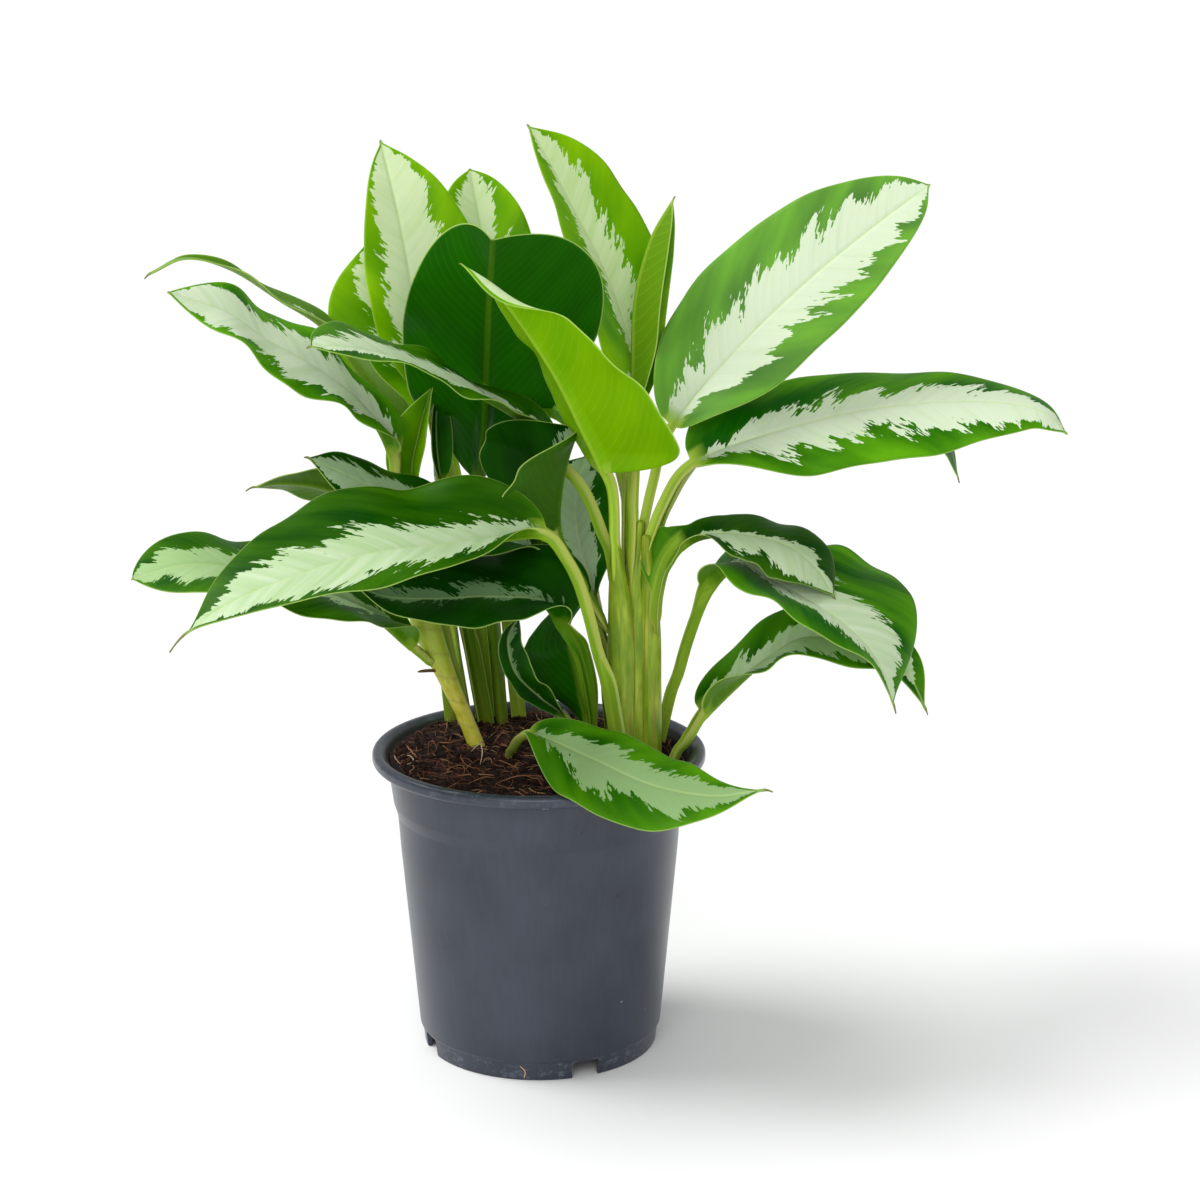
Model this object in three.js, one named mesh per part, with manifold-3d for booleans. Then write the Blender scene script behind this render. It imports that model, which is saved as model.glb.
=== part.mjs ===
import * as THREE from 'three';
import { mergeVertices } from 'three/addons/utils/BufferGeometryUtils.js';
import Module from 'manifold-3d';

// Potted Chinese evergreen with silver-centred leaves, in a 19 cm nursery pot.
// Millimetres, +Z up. Modelled about the pot's axis with the ground at z = 0:
// +X is the viewer's right and -Y points at the viewer.

const wasm = await Module();
wasm.setup();

// ---------- driving dimensions ----------
const GAP = 0.35; // air between neighbouring pieces
const SOCKET_ROOM = 0.45; // air round a stalk in the hole that it stands in
const POT_HEIGHT = 176;
const RIM_RADIUS = 95;
const FOOT_RADIUS = 67.4;
const STEP_RADIUS = 70;
const STEP_HEIGHT = 11.8;
const WALL = 1.9;
const FLOOR_TOP = 14;
const NOTCH_WIDTH = 16;
const NOTCH_HEIGHT = 10;
const NOTCH_ANGLES = [22, 112, 202, 292]; // degrees from the front, towards the right
const SOIL_TOP = 167;
const POT_SEGMENTS = 48;
const BLADE_EDGE = 0.8; // blade thickness at its margin
const PETIOLE = 3; // half the width of a leaf stalk
const STALK_STEPS = 4;
const BLADE_STEPS = 12;

const COLOUR = {
  pot: 0x474d58,
  soil: 0x3a2115,
  stem: 0x9db33c,
  cane: 0xc2b63e,
  leaf: 0x3f8f24,
  young: 0x7fae22,
  dark: 0x1e5c16,
};

// ---------- small helpers ----------
const smooth = (x) => THREE.MathUtils.smoothstep(x, 0, 1);
const lerp = THREE.MathUtils.lerp;
const radians = THREE.MathUtils.degToRad;
const vec = (p) => new THREE.Vector3(p[0], p[1], p[2]);

function toSolid(geometry) {
  const bare = geometry.clone();
  bare.deleteAttribute('normal');
  bare.deleteAttribute('uv');
  const merged = mergeVertices(bare, 1e-4);
  return new wasm.Manifold(new wasm.Mesh({
    numProp: 3,
    vertProperties: new Float32Array(merged.attributes.position.array),
    triVerts: new Uint32Array(merged.index.array),
  }));
}

function toGeometry(solid) {
  const mesh = solid.getMesh();
  const geometry = new THREE.BufferGeometry();
  geometry.setAttribute('position', new THREE.BufferAttribute(mesh.vertProperties, 3));
  geometry.setIndex(new THREE.BufferAttribute(mesh.triVerts, 1));
  geometry.computeVertexNormals();
  return geometry;
}

// The biggest body left after a cut; slivers between two holes are dropped.
function largest(solid) {
  const bodies = solid.decompose();
  bodies.sort((a, b) => b.volume() - a.volume());
  return bodies[0];
}

// A closed skin over a row of rings that all have the same number of points.
// Each ring runs anticlockwise seen from its far end, over its upper side and back
// along its lower side. Both sides are split along the same diagonals, and each end
// is closed by a strip between the two sides.
function skin(rings) {
  const count = rings[0].length;
  const points = rings.flat();
  const index = [];
  for (let i = 0; i < rings.length - 1; i += 1) {
    for (let j = 0; j < count; j += 1) {
      const a = i * count + j;
      const b = i * count + ((j + 1) % count);
      if (j < count / 2) index.push(a, b, b + count, a, b + count, a + count);
      else index.push(a, b, a + count, b, b + count, a + count);
    }
  }
  const last = (rings.length - 1) * count;
  for (let j = 0; j < count / 2 - 1; j += 1) {
    const [a, b, c, d] = [j, j + 1, count - 2 - j, count - 1 - j];
    index.push(a, c, b, a, d, c);
    index.push(last + a, last + b, last + c, last + a, last + c, last + d);
  }
  const geometry = new THREE.BufferGeometry().setFromPoints(points);
  geometry.setIndex(index);
  geometry.computeVertexNormals();
  return geometry;
}

// ---------- sweeps along a spine ----------
// Centre, direction, upward normal and sideways vector at each station.
// q runs -1..0 along the stalk and 0..1 along the blade.
function stations(leaf, stalkSteps, bladeSteps) {
  const curve = new THREE.CatmullRomCurve3(leaf.spine.map(vec), false, 'catmullrom', 0.5);
  curve.arcLengthDivisions = 400;
  const lengths = curve.getLengths();
  const total = lengths[lengths.length - 1];
  const split = lengths[Math.round((400 * leaf.base) / (leaf.spine.length - 1))];
  const list = [];
  for (let i = 0; i < stalkSteps; i += 1) {
    list.push({ q: i / stalkSteps - 1, at: (split * i) / stalkSteps });
  }
  for (let i = 0; i <= bladeSteps; i += 1) {
    const q = i / bladeSteps;
    list.push({ q, at: lerp(split, total, q) });
  }
  for (const station of list) {
    station.centre = curve.getPointAt(station.at / total);
    station.along = curve.getTangentAt(station.at / total);
  }
  const middle = list.findIndex((station) => station.q >= 0.45);
  const start = list[middle];
  start.up = flatten(vec(leaf.face), start.along);
  for (let i = middle + 1; i < list.length; i += 1) carry(list[i - 1], list[i]);
  for (let i = middle - 1; i >= 0; i -= 1) carry(list[i + 1], list[i]);
  for (const station of list) {
    const turn = radians(leaf.twist) * (Math.max(station.q, 0) - 0.45);
    station.up.applyAxisAngle(station.along, -turn);
    station.side = new THREE.Vector3().crossVectors(station.along, station.up);
  }
  return list;
}

function flatten(vector, along) {
  return vector.addScaledVector(along, -vector.dot(along)).normalize();
}

function carry(from, to) {
  const turn = new THREE.Quaternion().setFromUnitVectors(from.along, to.along);
  to.up = flatten(from.up.clone().applyQuaternion(turn), to.along);
}

// ---------- one leaf: stalk and blade in one sweep ----------
const LEAF = {
  fold: [15, 15], // degrees each half rises from flat: left half, right half
  tip: null, // the same at the tip, where it differs
  curl: -12, // further degrees from midrib to margin
  twist: 0,
  wave: 2, // height of the ripples along the margin
  shape: [0.72, 0.62], // how the width rises from the base and falls to the tip
  stalk: PETIOLE,
  sheath: 3.4, // half width of the clasping lower half of the stalk
  clasp: 0.5, // share of the stalk that clasps
};
const BASE_FOLD = 48;
const RIPPLES = 2.5;
const ACROSS = [-1, -0.5, 0, 0.5, 1];

function leafRings(leaf) {
  const [rise, fall] = leaf.shape;
  const widest = rise / (rise + fall);
  const peak = widest ** rise * (1 - widest) ** fall;
  const rings = [];
  for (const { q, centre, up, side } of stations(leaf, STALK_STEPS, BLADE_STEPS)) {
    const t = Math.max(q, 0);
    const stalky = q < 0;
    const clasping = smooth((leaf.clasp - 1 - q) / 0.15);
    const stalkWeight = stalky ? smooth(-q / 0.12) : 0;
    const swell = (t ** rise * (1 - t) ** fall) / peak;
    const thick = stalky
      ? 1.5 * leaf.stalk * (1 - 0.35 * clasping)
      : 0.25 + 1.5 * leaf.stalk * (1 - t) ** 2.2;
    const blend = smooth(t / 0.08);
    const upper = [];
    const lower = [];
    for (const s of ACROSS) {
      const half = s < 0 ? 0 : 1;
      const sign = s < 0 ? -1 : 1;
      const x = Math.abs(s);
      let width = lerp(leaf.stalk, leaf.sheath, clasping);
      if (!stalky) width = leaf.stalk * (1 - t) ** 2 + leaf.half[half] * swell;
      width = Math.max(width, 0.6);
      let fold = lerp(BASE_FOLD, lerp(20, 35, clasping), stalkWeight);
      if (!stalky) fold = lerp(BASE_FOLD, leaf.fold[half], smooth(t / 0.3));
      if (leaf.tip) fold += (leaf.tip[half] - leaf.fold[half]) * smooth((t - 0.7) / 0.3);
      // A narrow strip folds less, so that its two halves stay apart.
      const steepest = THREE.MathUtils.radToDeg(Math.atan(width / (1.5 * BLADE_EDGE)));
      fold = Math.min(fold, steepest);
      let curl = stalky ? 20 * stalkWeight : leaf.curl * smooth(t / 0.3);
      curl = Math.min(curl, steepest - fold);
      const open = radians(fold + (curl * x) / 2);
      const edge = radians(fold + curl * x);
      const phase = half ? 0.9 : 2.6;
      const ripple = leaf.wave * Math.sin(2 * Math.PI * RIPPLES * t + phase)
        * x * x * Math.sin(Math.PI * t);
      const point = centre.clone()
        .addScaledVector(side, sign * x * width * Math.cos(open))
        .addScaledVector(up, x * width * Math.sin(open) + ripple);
      const lean = x > 0 ? edge : 0;
      const normal = side.clone().multiplyScalar(-sign * Math.sin(lean))
        .addScaledVector(up, Math.cos(lean));
      const round = Math.sqrt(Math.max(0, 1 - x * x));
      const ridge = Math.max(0, 1 - ((x * width) / (1.5 * leaf.stalk)) ** 2);
      const keel = thick * lerp(round, ridge, blend);
      upper.push(point.clone().addScaledVector(normal, BLADE_EDGE / 2));
      lower.push(point.clone().addScaledVector(normal, -BLADE_EDGE / 2)
        .addScaledVector(up, -keel));
    }
    rings.push([...upper, ...lower.reverse()]);
  }
  return rings;
}

function leafGeometry(leaf) {
  return skin(leafRings(leaf));
}

// The plain six-sided hole that the foot of a stalk needs in the piece that it stands in.
function socket(leaf) {
  const frames = stations(leaf, STALK_STEPS, BLADE_STEPS);
  const rings = leafRings(leaf).slice(0, STALK_STEPS + 1).map((ring, i) => {
    const { centre, side, up } = frames[i];
    const across = ring.map((point) => Math.abs(point.clone().sub(centre).dot(side)));
    const height = ring.map((point) => point.clone().sub(centre).dot(up));
    const wide = Math.max(...across) + SOCKET_ROOM;
    const top = Math.max(...height) + SOCKET_ROOM;
    const bottom = Math.min(...height) - SOCKET_ROOM;
    const waist = lerp(bottom, top, 0.5);
    const outline = [
      [-wide, top], [wide, top], [wide, waist],
      [0.55 * wide, bottom], [-0.55 * wide, bottom], [-wide, waist],
    ];
    return outline.map(([x, z]) => centre.clone().addScaledVector(side, x).addScaledVector(up, z));
  });
  const down = vec(leaf.spine[0]).sub(vec(leaf.spine[1])).setLength(SOCKET_ROOM);
  rings.unshift(rings[0].map((point) => point.clone().add(down)));
  return toSolid(skin(rings));
}

// ---------- the leaves ----------
// spine: points from the foot of the stalk to the leaf's tip
// base: number of the point where the blade begins
// face: the way the upper side looks halfway along the blade
// half: widths of the left and right halves, looking from stalk to tip
const LEAVES = [
  {
    name: 'leaf_right_top', from: 'column', base: 3, face: [-0.2, -0.88, 0.42],
    half: [46, 34], fold: [4, 10], curl: -10, shape: [0.64, 0.62],
    spine: [[57, 10, 262], [58, 10, 290], [65, 13, 326], [76, 18, 358], [115, 30, 402],
      [155, 42, 438], [191, 50, 466], [222, 56, 488]],
  },
  {
    name: 'leaf_right_long', from: 'column', base: 3, face: [0, -0.58, 0.8],
    half: [40, 35], fold: [-6, -6], curl: -15, twist: -25, shape: [0.72, 0.7],
    spine: [[60, 3, 262], [61, 3, 288], [70, 6, 315], [87, 10, 338], [131, 20, 353],
      [185, 26, 365], [239, 24, 370], [280, 18, 367], [297, 12, 354]],
  },
  {
    name: 'leaf_right_behind', from: 'column', base: 3, face: [0, -0.3, 0.95],
    half: [31, 31], fold: [5, 5], curl: -20,
    spine: [[65, 10, 262], [67, 14, 292], [84, 38, 326], [116, 68, 350], [166, 90, 361],
      [212, 98, 355], [242, 98, 334], [250, 96, 312]],
  },
  {
    name: 'leaf_centre_forward', from: 'column', base: 3, face: [0.45, 0.55, 0.7],
    half: [66, 34], fold: [12, 50], curl: -10, shape: [0.33, 0.85], young: true,
    spine: [[44, -3, 262], [43, -5, 290], [40, -11, 316], [37, -18, 332], [18, -40, 364],
      [0, -58, 394], [-18, -76, 425], [-30, -87, 447], [-41, -94, 460]],
  },
  {
    name: 'leaf_centre_tall', from: 'column', base: 2, face: [0.6, -0.8, 0.15],
    half: [39, 39], fold: [55, 12], curl: -5, shape: [1, 0.72], young: true,
    spine: [[50, 12, 262], [50, 20, 310], [56, 44, 371], [46, 54, 409], [32, 60, 442],
      [15, 66, 475], [3, 70, 500], [-5, 74, 520]],
  },
  {
    name: 'leaf_rolled_spike', from: 'column', base: 2, face: [0.9, -0.3, 0.2],
    half: [15, 15], fold: [70, 70], curl: 0, wave: 0, young: true,
    spine: [[52, 2, 264], [54, 8, 310], [60, 30, 370], [61, 42, 421], [68, 48, 457],
      [77, 50, 481]],
  },
  {
    name: 'leaf_right_small', from: 'column', base: 3, face: [0.2, -0.35, 0.9],
    half: [25, 25], fold: [2, 2], curl: -15, wave: 3, sheath: 5, clasp: 0.8,
    spine: [[67, -1, 242], [68, -3, 264], [73, 0, 283], [81, 3, 293], [94, 7, 298],
      [117, 10, 297], [141, 6, 291], [157, 0, 279], [166, -6, 265]],
  },
  {
    name: 'leaf_right_low', from: 'soil', base: 3, face: [0.35, -0.45, 0.8],
    half: [55, 43], fold: [5, 22], curl: -15, wave: 3, sheath: 4.5,
    spine: [[69, 34, 159], [74, 34, 192], [82, 31, 233], [92, 26, 265], [111, 16, 281],
      [128, 3, 270], [148, -11, 260], [169, -25, 250], [186, -34, 234], [197, -40, 211]],
  },
  {
    name: 'leaf_right_lowest', from: 'soil', base: 3, face: [-0.2, -0.45, 0.85],
    half: [27, 27], fold: [25, 25], curl: -10, twist: 40, shape: [0.72, 1],
    spine: [[74, 0, 159], [79, 2, 171], [87, 7, 183], [94, 12, 192], [113, 20, 207],
      [132, 22, 222], [153, 17, 235], [180, 9, 232], [206, 2, 223], [220, -4, 198]],
  },
  {
    name: 'leaf_left_big', from: 'soil', base: 5, face: [-0.1, -0.33, 0.94],
    half: [50, 50], fold: [14, 14], shape: [0.65, 0.95], sheath: 7,
    spine: [[47, -12, 160], [41, -14, 198], [34, -20, 238], [25, -28, 275], [16, -36, 296],
      [4, -44, 311], [-20, -57, 312], [-52, -77, 312], [-88, -97, 312], [-128, -115, 304],
      [-160, -125, 292], [-181, -129, 278]],
  },
  {
    name: 'leaf_left_under', from: 'soil', base: 4, face: [0, -0.35, 0.93],
    half: [35, 35], fold: [12, 12], curl: -15, wave: 3, dark: true,
    spine: [[31, -4, 160], [29, -5, 198], [23, -8, 231], [14, -14, 252], [3, -19, 266],
      [-27, -28, 271], [-59, -40, 273], [-83, -50, 277], [-100, -58, 286]],
  },
  {
    name: 'leaf_small_dark', from: 'soil', base: 2, face: [-0.6, -0.5, 0.6],
    half: [15, 15], fold: [35, 35], wave: 3, dark: true,
    spine: [[25, 8, 159], [22, 7, 177], [13, 4, 194], [1, 0, 205], [-13, -4, 221],
      [-17, -4, 240], [-11, 0, 252]],
  },
  {
    name: 'leaf_over_rim', from: 'soil', base: 2, face: [0.1, -0.6, 0.8],
    half: [25, 32], fold: [5, 5], curl: -15, shape: [0.8, 0.8], sheath: 4,
    spine: [[-22, -28, 159], [-19, -33, 186], [-5, -46, 197], [28, -74, 192], [59, -96, 184],
      [91, -108, 181], [119, -114, 186]],
  },
  {
    name: 'leaf_funnel', from: 'column', base: 3, face: [-0.8, -0.15, 0.6],
    half: [37, 37], fold: [20, 20], curl: 75, shape: [0.8, 0.7], dark: true,
    spine: [[42, 3, 238], [29, 3, 262], [15, 1, 286], [8, 0, 303], [10, -9, 325],
      [14, -18, 345], [18, -25, 360]],
  },
  {
    name: 'leaf_left_narrow', from: 'column', base: 3, face: [0.2, -0.2, 0.95],
    half: [37, 37], fold: [10, 10], curl: -15, wave: 3, shape: [0.72, 0.5],
    spine: [[44, 4, 255], [40, 4, 290], [27, 8, 324], [11, 11, 342], [-5, 7, 363],
      [-36, -24, 384], [-67, -54, 402], [-96, -80, 411], [-116, -94, 411]],
  },
  {
    name: 'leaf_centre_back', from: 'soil', base: 2, face: [-0.5, -0.85, 0.2],
    half: [30, 30], fold: [20, 20], dark: true,
    spine: [[43, 31, 159], [38, 36, 215], [33, 42, 254], [26, 46, 276], [22, 50, 298],
      [23, 56, 316], [28, 62, 332]],
  },
  {
    name: 'leaf_centre_hidden', from: 'column', base: 2, face: [0.3, -0.5, 0.8],
    half: [24, 24], young: true,
    spine: [[54, 20, 262], [51, 30, 312], [41, 42, 343], [20, 57, 361], [0, 72, 376],
      [-14, 83, 385]],
  },
  {
    name: 'leaf_left_middle', from: 'column', base: 3, face: [0.1, -0.45, 0.88],
    half: [28, 28], fold: [0, 0], curl: -10, dark: true,
    spine: [[46, 13, 205], [34, 18, 242], [20, 20, 270], [2, 15, 285], [-27, 8, 299],
      [-60, -3, 314], [-92, -18, 332], [-124, -35, 351]],
  },
  {
    name: 'leaf_back_left_tall', from: 'soil', base: 2, face: [0.25, -0.9, 0.3],
    half: [25, 42], fold: [12, 12], curl: -5, shape: [0.72, 0.85], young: true,
    spine: [[-32, 70, 159], [-42, 69, 269], [-62, 64, 365], [-69, 64, 411], [-74, 70, 445],
      [-80, 80, 475], [-89, 96, 510]],
  },
  {
    name: 'leaf_back_tall', from: 'soil', base: 2, face: [0.1, -0.9, 0.35],
    half: [31, 31], fold: [18, 18], curl: -5, shape: [0.72, 0.8], young: true,
    spine: [[-11, 70, 159], [-21, 82, 264], [-28, 100, 359], [-28, 112, 410],
      [-32, 124, 452], [-39, 138, 490]],
  },
  {
    name: 'leaf_back_left', from: 'soil', base: 2, face: [-0.1, -0.8, 0.55],
    half: [40, 40], fold: [15, 15], young: true,
    spine: [[-23, 73, 159], [-39, 78, 266], [-56, 82, 351], [-67, 88, 380],
      [-81, 95, 408], [-91, 104, 433], [-99, 112, 450]],
  },
  {
    name: 'leaf_centre_broad', from: 'soil', base: 2, face: [0, 0.9, 0.45],
    half: [64, 47], fold: [15, 15], tip: [22, 55], curl: -8, shape: [1.25, 0.5], dark: true,
    spine: [[-21, 61, 159], [-27, 60, 247], [-33, 50, 322], [-30, 36, 358],
      [-28, 16, 396], [-26, -12, 431], [-24, -36, 455], [-23, -56, 471]],
  },
  {
    name: 'leaf_left_high', from: 'cane', base: 2, face: [0, -0.5, 0.86],
    half: [26, 26], fold: [8, 8], wave: 4, shape: [0.72, 0.55],
    spine: [[-71, 24, 250], [-80, 24, 300], [-80, 22, 342], [-98, 5, 375],
      [-125, -10, 399], [-146, -19, 413], [-166, -27, 429], [-196, -35, 441]],
  },
  {
    name: 'leaf_left_edge_on', from: 'soil', base: 2, face: [0.2, 0.25, 0.93],
    half: [27, 27], fold: [15, 15], twist: -80, shape: [0.5, 1],
    spine: [[-51, 58, 159], [-63, 62, 271], [-79, 58, 343], [-97, 50, 379],
      [-119, 43, 410], [-143, 36, 427], [-169, 28, 445], [-193, 17, 453], [-211, 6, 446]],
  },
  {
    name: 'leaf_left_rolled', from: 'soil', base: 2, face: [-0.3, -0.9, 0.3],
    half: [15, 15], fold: [55, 55], wave: 0, young: true,
    spine: [[-41, 62, 159], [-55, 53, 250], [-67, 40, 317], [-66, 38, 351], [-59, 34, 378]],
  },
  {
    name: 'leaf_left_rolled_dark', from: 'soil', base: 2, face: [0.5, -0.8, 0.3],
    half: [9, 9], fold: [50, 50], wave: 0, dark: true,
    spine: [[-31, 58, 159], [-45, 55, 247], [-56, 49, 323], [-58, 47, 350], [-57, 46, 374]],
  },
  {
    name: 'leaf_left_thin', from: 'soil', base: 2, face: [-0.1, 0.6, 0.8],
    half: [17, 17], fold: [12, 12],
    spine: [[-43, 50, 159], [-53, 47, 226], [-66, 45, 271], [-92, 40, 302],
      [-118, 27, 320], [-142, 12, 327], [-158, 3, 327]],
  },
  {
    name: 'leaf_left_low', from: 'cane', base: 2, face: [0, -0.35, 0.94],
    half: [32, 32], fold: [12, 12], wave: 3, shape: [0.72, 0.5], stalk: 2.4, sheath: 2.6,
    spine: [[-54, 20, 211], [-60, 17, 221], [-71, 11, 233], [-94, -5, 257],
      [-121, -22, 274], [-151, -42, 289], [-187, -60, 298], [-216, -72, 293]],
  },
].map((leaf) => ({ ...LEAF, ...leaf }));

// ---------- thick stems ----------
const STEM_SIDES = 12;

// An upright stem: points with the half widths across and in depth at each.
function stemSolid(rows) {
  const rings = rows.map(([x, y, z, across, depth]) => {
    const ring = [];
    for (let i = 0; i < STEM_SIDES; i += 1) {
      const angle = (2 * Math.PI * i) / STEM_SIDES;
      ring.push(new THREE.Vector3(x + across * Math.cos(angle), y + depth * Math.sin(angle), z));
    }
    return ring;
  });
  return toSolid(skin(rings));
}

// The clasping leaf sheaths of the right-hand shoot make three ribs side by side.
const COLUMN_RIBS = [
  [[47, 3, 159, 8.5, 8], [47, 2, 200, 8, 7.5], [47, 2, 245, 7.5, 7.5], [46, 1, 284, 6.5, 6.5]],
  [[55, 9, 159, 9, 10], [55, 9, 200, 8.5, 9.5], [55, 9, 250, 8.5, 10], [54, 10, 289, 8, 9.5]],
  [[63, 7, 159, 7.5, 8], [63, 7, 200, 7, 7.5], [62.5, 7, 250, 7, 7.5], [62, 7, 286, 6.5, 7]],
];

// The yellow cane of the left-hand shoot leans away from its cut foot on the soil.
const CANE = [
  [-36, 18, 163, 6.8, 6.2], [-44, 18, 188, 6.4, 6], [-54, 20, 212, 6.4, 6],
  [-64, 22, 238, 6, 5.6], [-71, 24, 262, 5.4, 5.2],
];

const socketsIn = (piece) => LEAVES.filter((leaf) => leaf.from === piece).map(socket);
const cutAll = (solid, cuts) => largest(cuts.reduce((left, cut) => left.subtract(cut), solid));

const columnWhole = COLUMN_RIBS.map(stemSolid).reduce((all, rib) => all.add(rib));
const column = cutAll(columnWhole, socketsIn('column'));
const caneWhole = stemSolid(CANE);
const cane = cutAll(caneWhole, socketsIn('cane'));

// ---------- pot ----------
function lathe(profile) {
  const points = profile.map(([r, z]) => new THREE.Vector2(r, z));
  const geometry = new THREE.LatheGeometry(points, POT_SEGMENTS);
  geometry.rotateX(Math.PI / 2);
  return toSolid(geometry);
}

function block(width, length, height, x, y, z, degrees) {
  const geometry = new THREE.BoxGeometry(width, length, height);
  geometry.translate(x, y, z);
  geometry.rotateZ(radians(degrees));
  return toSolid(geometry);
}

const potOutside = [
  [FOOT_RADIUS - 2.6, 0], [FOOT_RADIUS, 0], [FOOT_RADIUS + 1.2, STEP_HEIGHT - 0.8],
  [STEP_RADIUS, STEP_HEIGHT], [79.6, 119], [80.4, 131], [81.1, 139], [83.3, 146],
  [84.9, 158], [86, 168.5], [93.6, 169], [RIM_RADIUS, 170.6], [RIM_RADIUS, 174.4],
  [93.6, POT_HEIGHT], [90.2, POT_HEIGHT],
];
const potInside = [
  [87.6, 173.6], [84.9 - WALL, 158], [83.3 - WALL, 146.6], [81.1 - WALL, 139.4],
  [79.6 - WALL, 119], [STEP_RADIUS - WALL + 0.2, FLOOR_TOP], [0, FLOOR_TOP],
  [0, STEP_HEIGHT], [FOOT_RADIUS - 2.2, STEP_HEIGHT],
];
const notches = NOTCH_ANGLES.flatMap((angle) => [
  block(NOTCH_WIDTH, 14, NOTCH_HEIGHT + 2, 0, -66, NOTCH_HEIGHT / 2 - 1, angle),
  block(12, 9, 12, 0, -58, 12, angle),
]);
const potProfile = [...potOutside, ...potInside, potOutside[0]];
const pot = cutAll(lathe(potProfile), notches);

// ---------- soil ----------
const soilProfile = [
  [0, FLOOR_TOP + GAP], [STEP_RADIUS - WALL - GAP, FLOOR_TOP + GAP],
  [79.6 - WALL - GAP, 119], [81.1 - WALL - GAP, 139.4], [83.3 - WALL - GAP, 146.6],
  [84.9 - WALL - GAP, 158], [85 - GAP, SOIL_TOP - 1.2], [62, SOIL_TOP - 0.2],
  [30, SOIL_TOP + 0.8], [0, SOIL_TOP + 1],
];
const stemRoom = (rows) => stemSolid(rows.map(([x, y, z, across, depth], i) => [
  x, y, i === 0 ? z - GAP : z, across + SOCKET_ROOM, depth + SOCKET_ROOM,
]));
const soilCuts = [...socketsIn('soil'), ...COLUMN_RIBS.map(stemRoom), stemRoom(CANE)];
const soil = cutAll(lathe(soilProfile), soilCuts);

// ---------- assembly ----------
const group = new THREE.Group();

function place(name, geometry, color, roughness) {
  const material = new THREE.MeshStandardMaterial({ color, roughness, metalness: 0 });
  const mesh = new THREE.Mesh(geometry, material);
  mesh.name = name;
  group.add(mesh);
}

place('pot', toGeometry(pot), COLOUR.pot, 0.45);
place('soil', toGeometry(soil), COLOUR.soil, 1);
place('stem_column', toGeometry(column), COLOUR.stem, 0.5);
place('cane', toGeometry(cane), COLOUR.cane, 0.55);
for (const leaf of LEAVES) {
  let color = COLOUR.leaf;
  if (leaf.young) color = COLOUR.young;
  if (leaf.dark) color = COLOUR.dark;
  place(leaf.name, leafGeometry(leaf), color, 0.4);
}

// The origin goes to the middle of the plant's own box, on the ground.
group.updateMatrixWorld(true);
const box = new THREE.Box3().setFromObject(group, true);
const middle = box.getCenter(new THREE.Vector3());
for (const mesh of group.children) {
  mesh.position.set(-middle.x, -middle.y, -box.min.z);
}

export default group;
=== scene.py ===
# %% [markdown]
# # A potted Chinese evergreen
# The subject is a leafy house plant in the plastic pot that it was raised in. The pot, the
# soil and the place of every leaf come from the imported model. This lesson dresses them:
# finer leaves with a silver middle, soil with coir in it, and a moulded pot.
# All shapes are worked out with numpy in millimetres about the pot's own axis.

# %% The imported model
import math

import bpy
import numpy as np
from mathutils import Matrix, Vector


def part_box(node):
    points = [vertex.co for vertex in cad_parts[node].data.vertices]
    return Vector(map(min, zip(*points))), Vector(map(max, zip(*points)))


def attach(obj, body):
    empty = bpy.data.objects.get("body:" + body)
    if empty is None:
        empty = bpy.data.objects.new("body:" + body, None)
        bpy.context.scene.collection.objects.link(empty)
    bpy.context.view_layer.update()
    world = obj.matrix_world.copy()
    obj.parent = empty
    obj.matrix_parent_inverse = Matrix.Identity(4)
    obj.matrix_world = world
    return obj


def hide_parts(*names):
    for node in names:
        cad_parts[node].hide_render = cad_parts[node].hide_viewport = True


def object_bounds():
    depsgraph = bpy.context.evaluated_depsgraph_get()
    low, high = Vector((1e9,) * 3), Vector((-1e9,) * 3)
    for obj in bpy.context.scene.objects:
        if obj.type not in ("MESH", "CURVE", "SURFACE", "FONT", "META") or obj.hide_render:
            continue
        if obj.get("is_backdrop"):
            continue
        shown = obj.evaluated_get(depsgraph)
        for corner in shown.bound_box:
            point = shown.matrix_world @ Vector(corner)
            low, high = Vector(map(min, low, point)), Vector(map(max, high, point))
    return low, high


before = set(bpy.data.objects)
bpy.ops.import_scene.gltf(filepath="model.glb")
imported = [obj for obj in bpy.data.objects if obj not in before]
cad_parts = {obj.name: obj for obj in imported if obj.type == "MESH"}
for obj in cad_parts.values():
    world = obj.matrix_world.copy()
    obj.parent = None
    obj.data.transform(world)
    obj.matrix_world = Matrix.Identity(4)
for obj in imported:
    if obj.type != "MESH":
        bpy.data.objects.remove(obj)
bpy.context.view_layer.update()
pot_low, pot_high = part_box("pot")
AXIS = np.array([(pot_low.x + pot_high.x) / 2, (pot_low.y + pot_high.y) / 2, 0.0])
print("pot axis", AXIS.round(4), "nodes", len(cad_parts))

# %% [markdown]
# ## Small tools
# Colours are given as sRGB hex values, but Blender mixes light in linear numbers,
# so one function turns the one into the other. Meshes are built as whole arrays: a grid of
# points, and quads that join each ring of points to the next. Materials are node trees,
# and one function adds a node, sets its options and links its inputs. Two more work on
# ramps, which turn a range of some value into a share from 0 to 1: one multiplies them, and
# the other lays coats of colour on each other, each as strong as a ramp says.

# %% Colour, mesh and node helpers
def linear(code):
    """Each channel c of the sRGB hex value becomes ((c + 0.055) / 1.055) to the power 2.4."""
    c = np.array([int(code[i:i + 2], 16) for i in (1, 3, 5)]) / 255
    c = np.where(c <= 0.04045, c / 12.92, ((c + 0.055) / 1.055) ** 2.4)
    return (*c.tolist(), 1.0)


def smooth(x):
    """0 below 0, 1 above 1, and x squared times (3 - 2x) between."""
    x = np.clip(x, 0.0, 1.0)
    return x * x * (3 - 2 * x)


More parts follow.
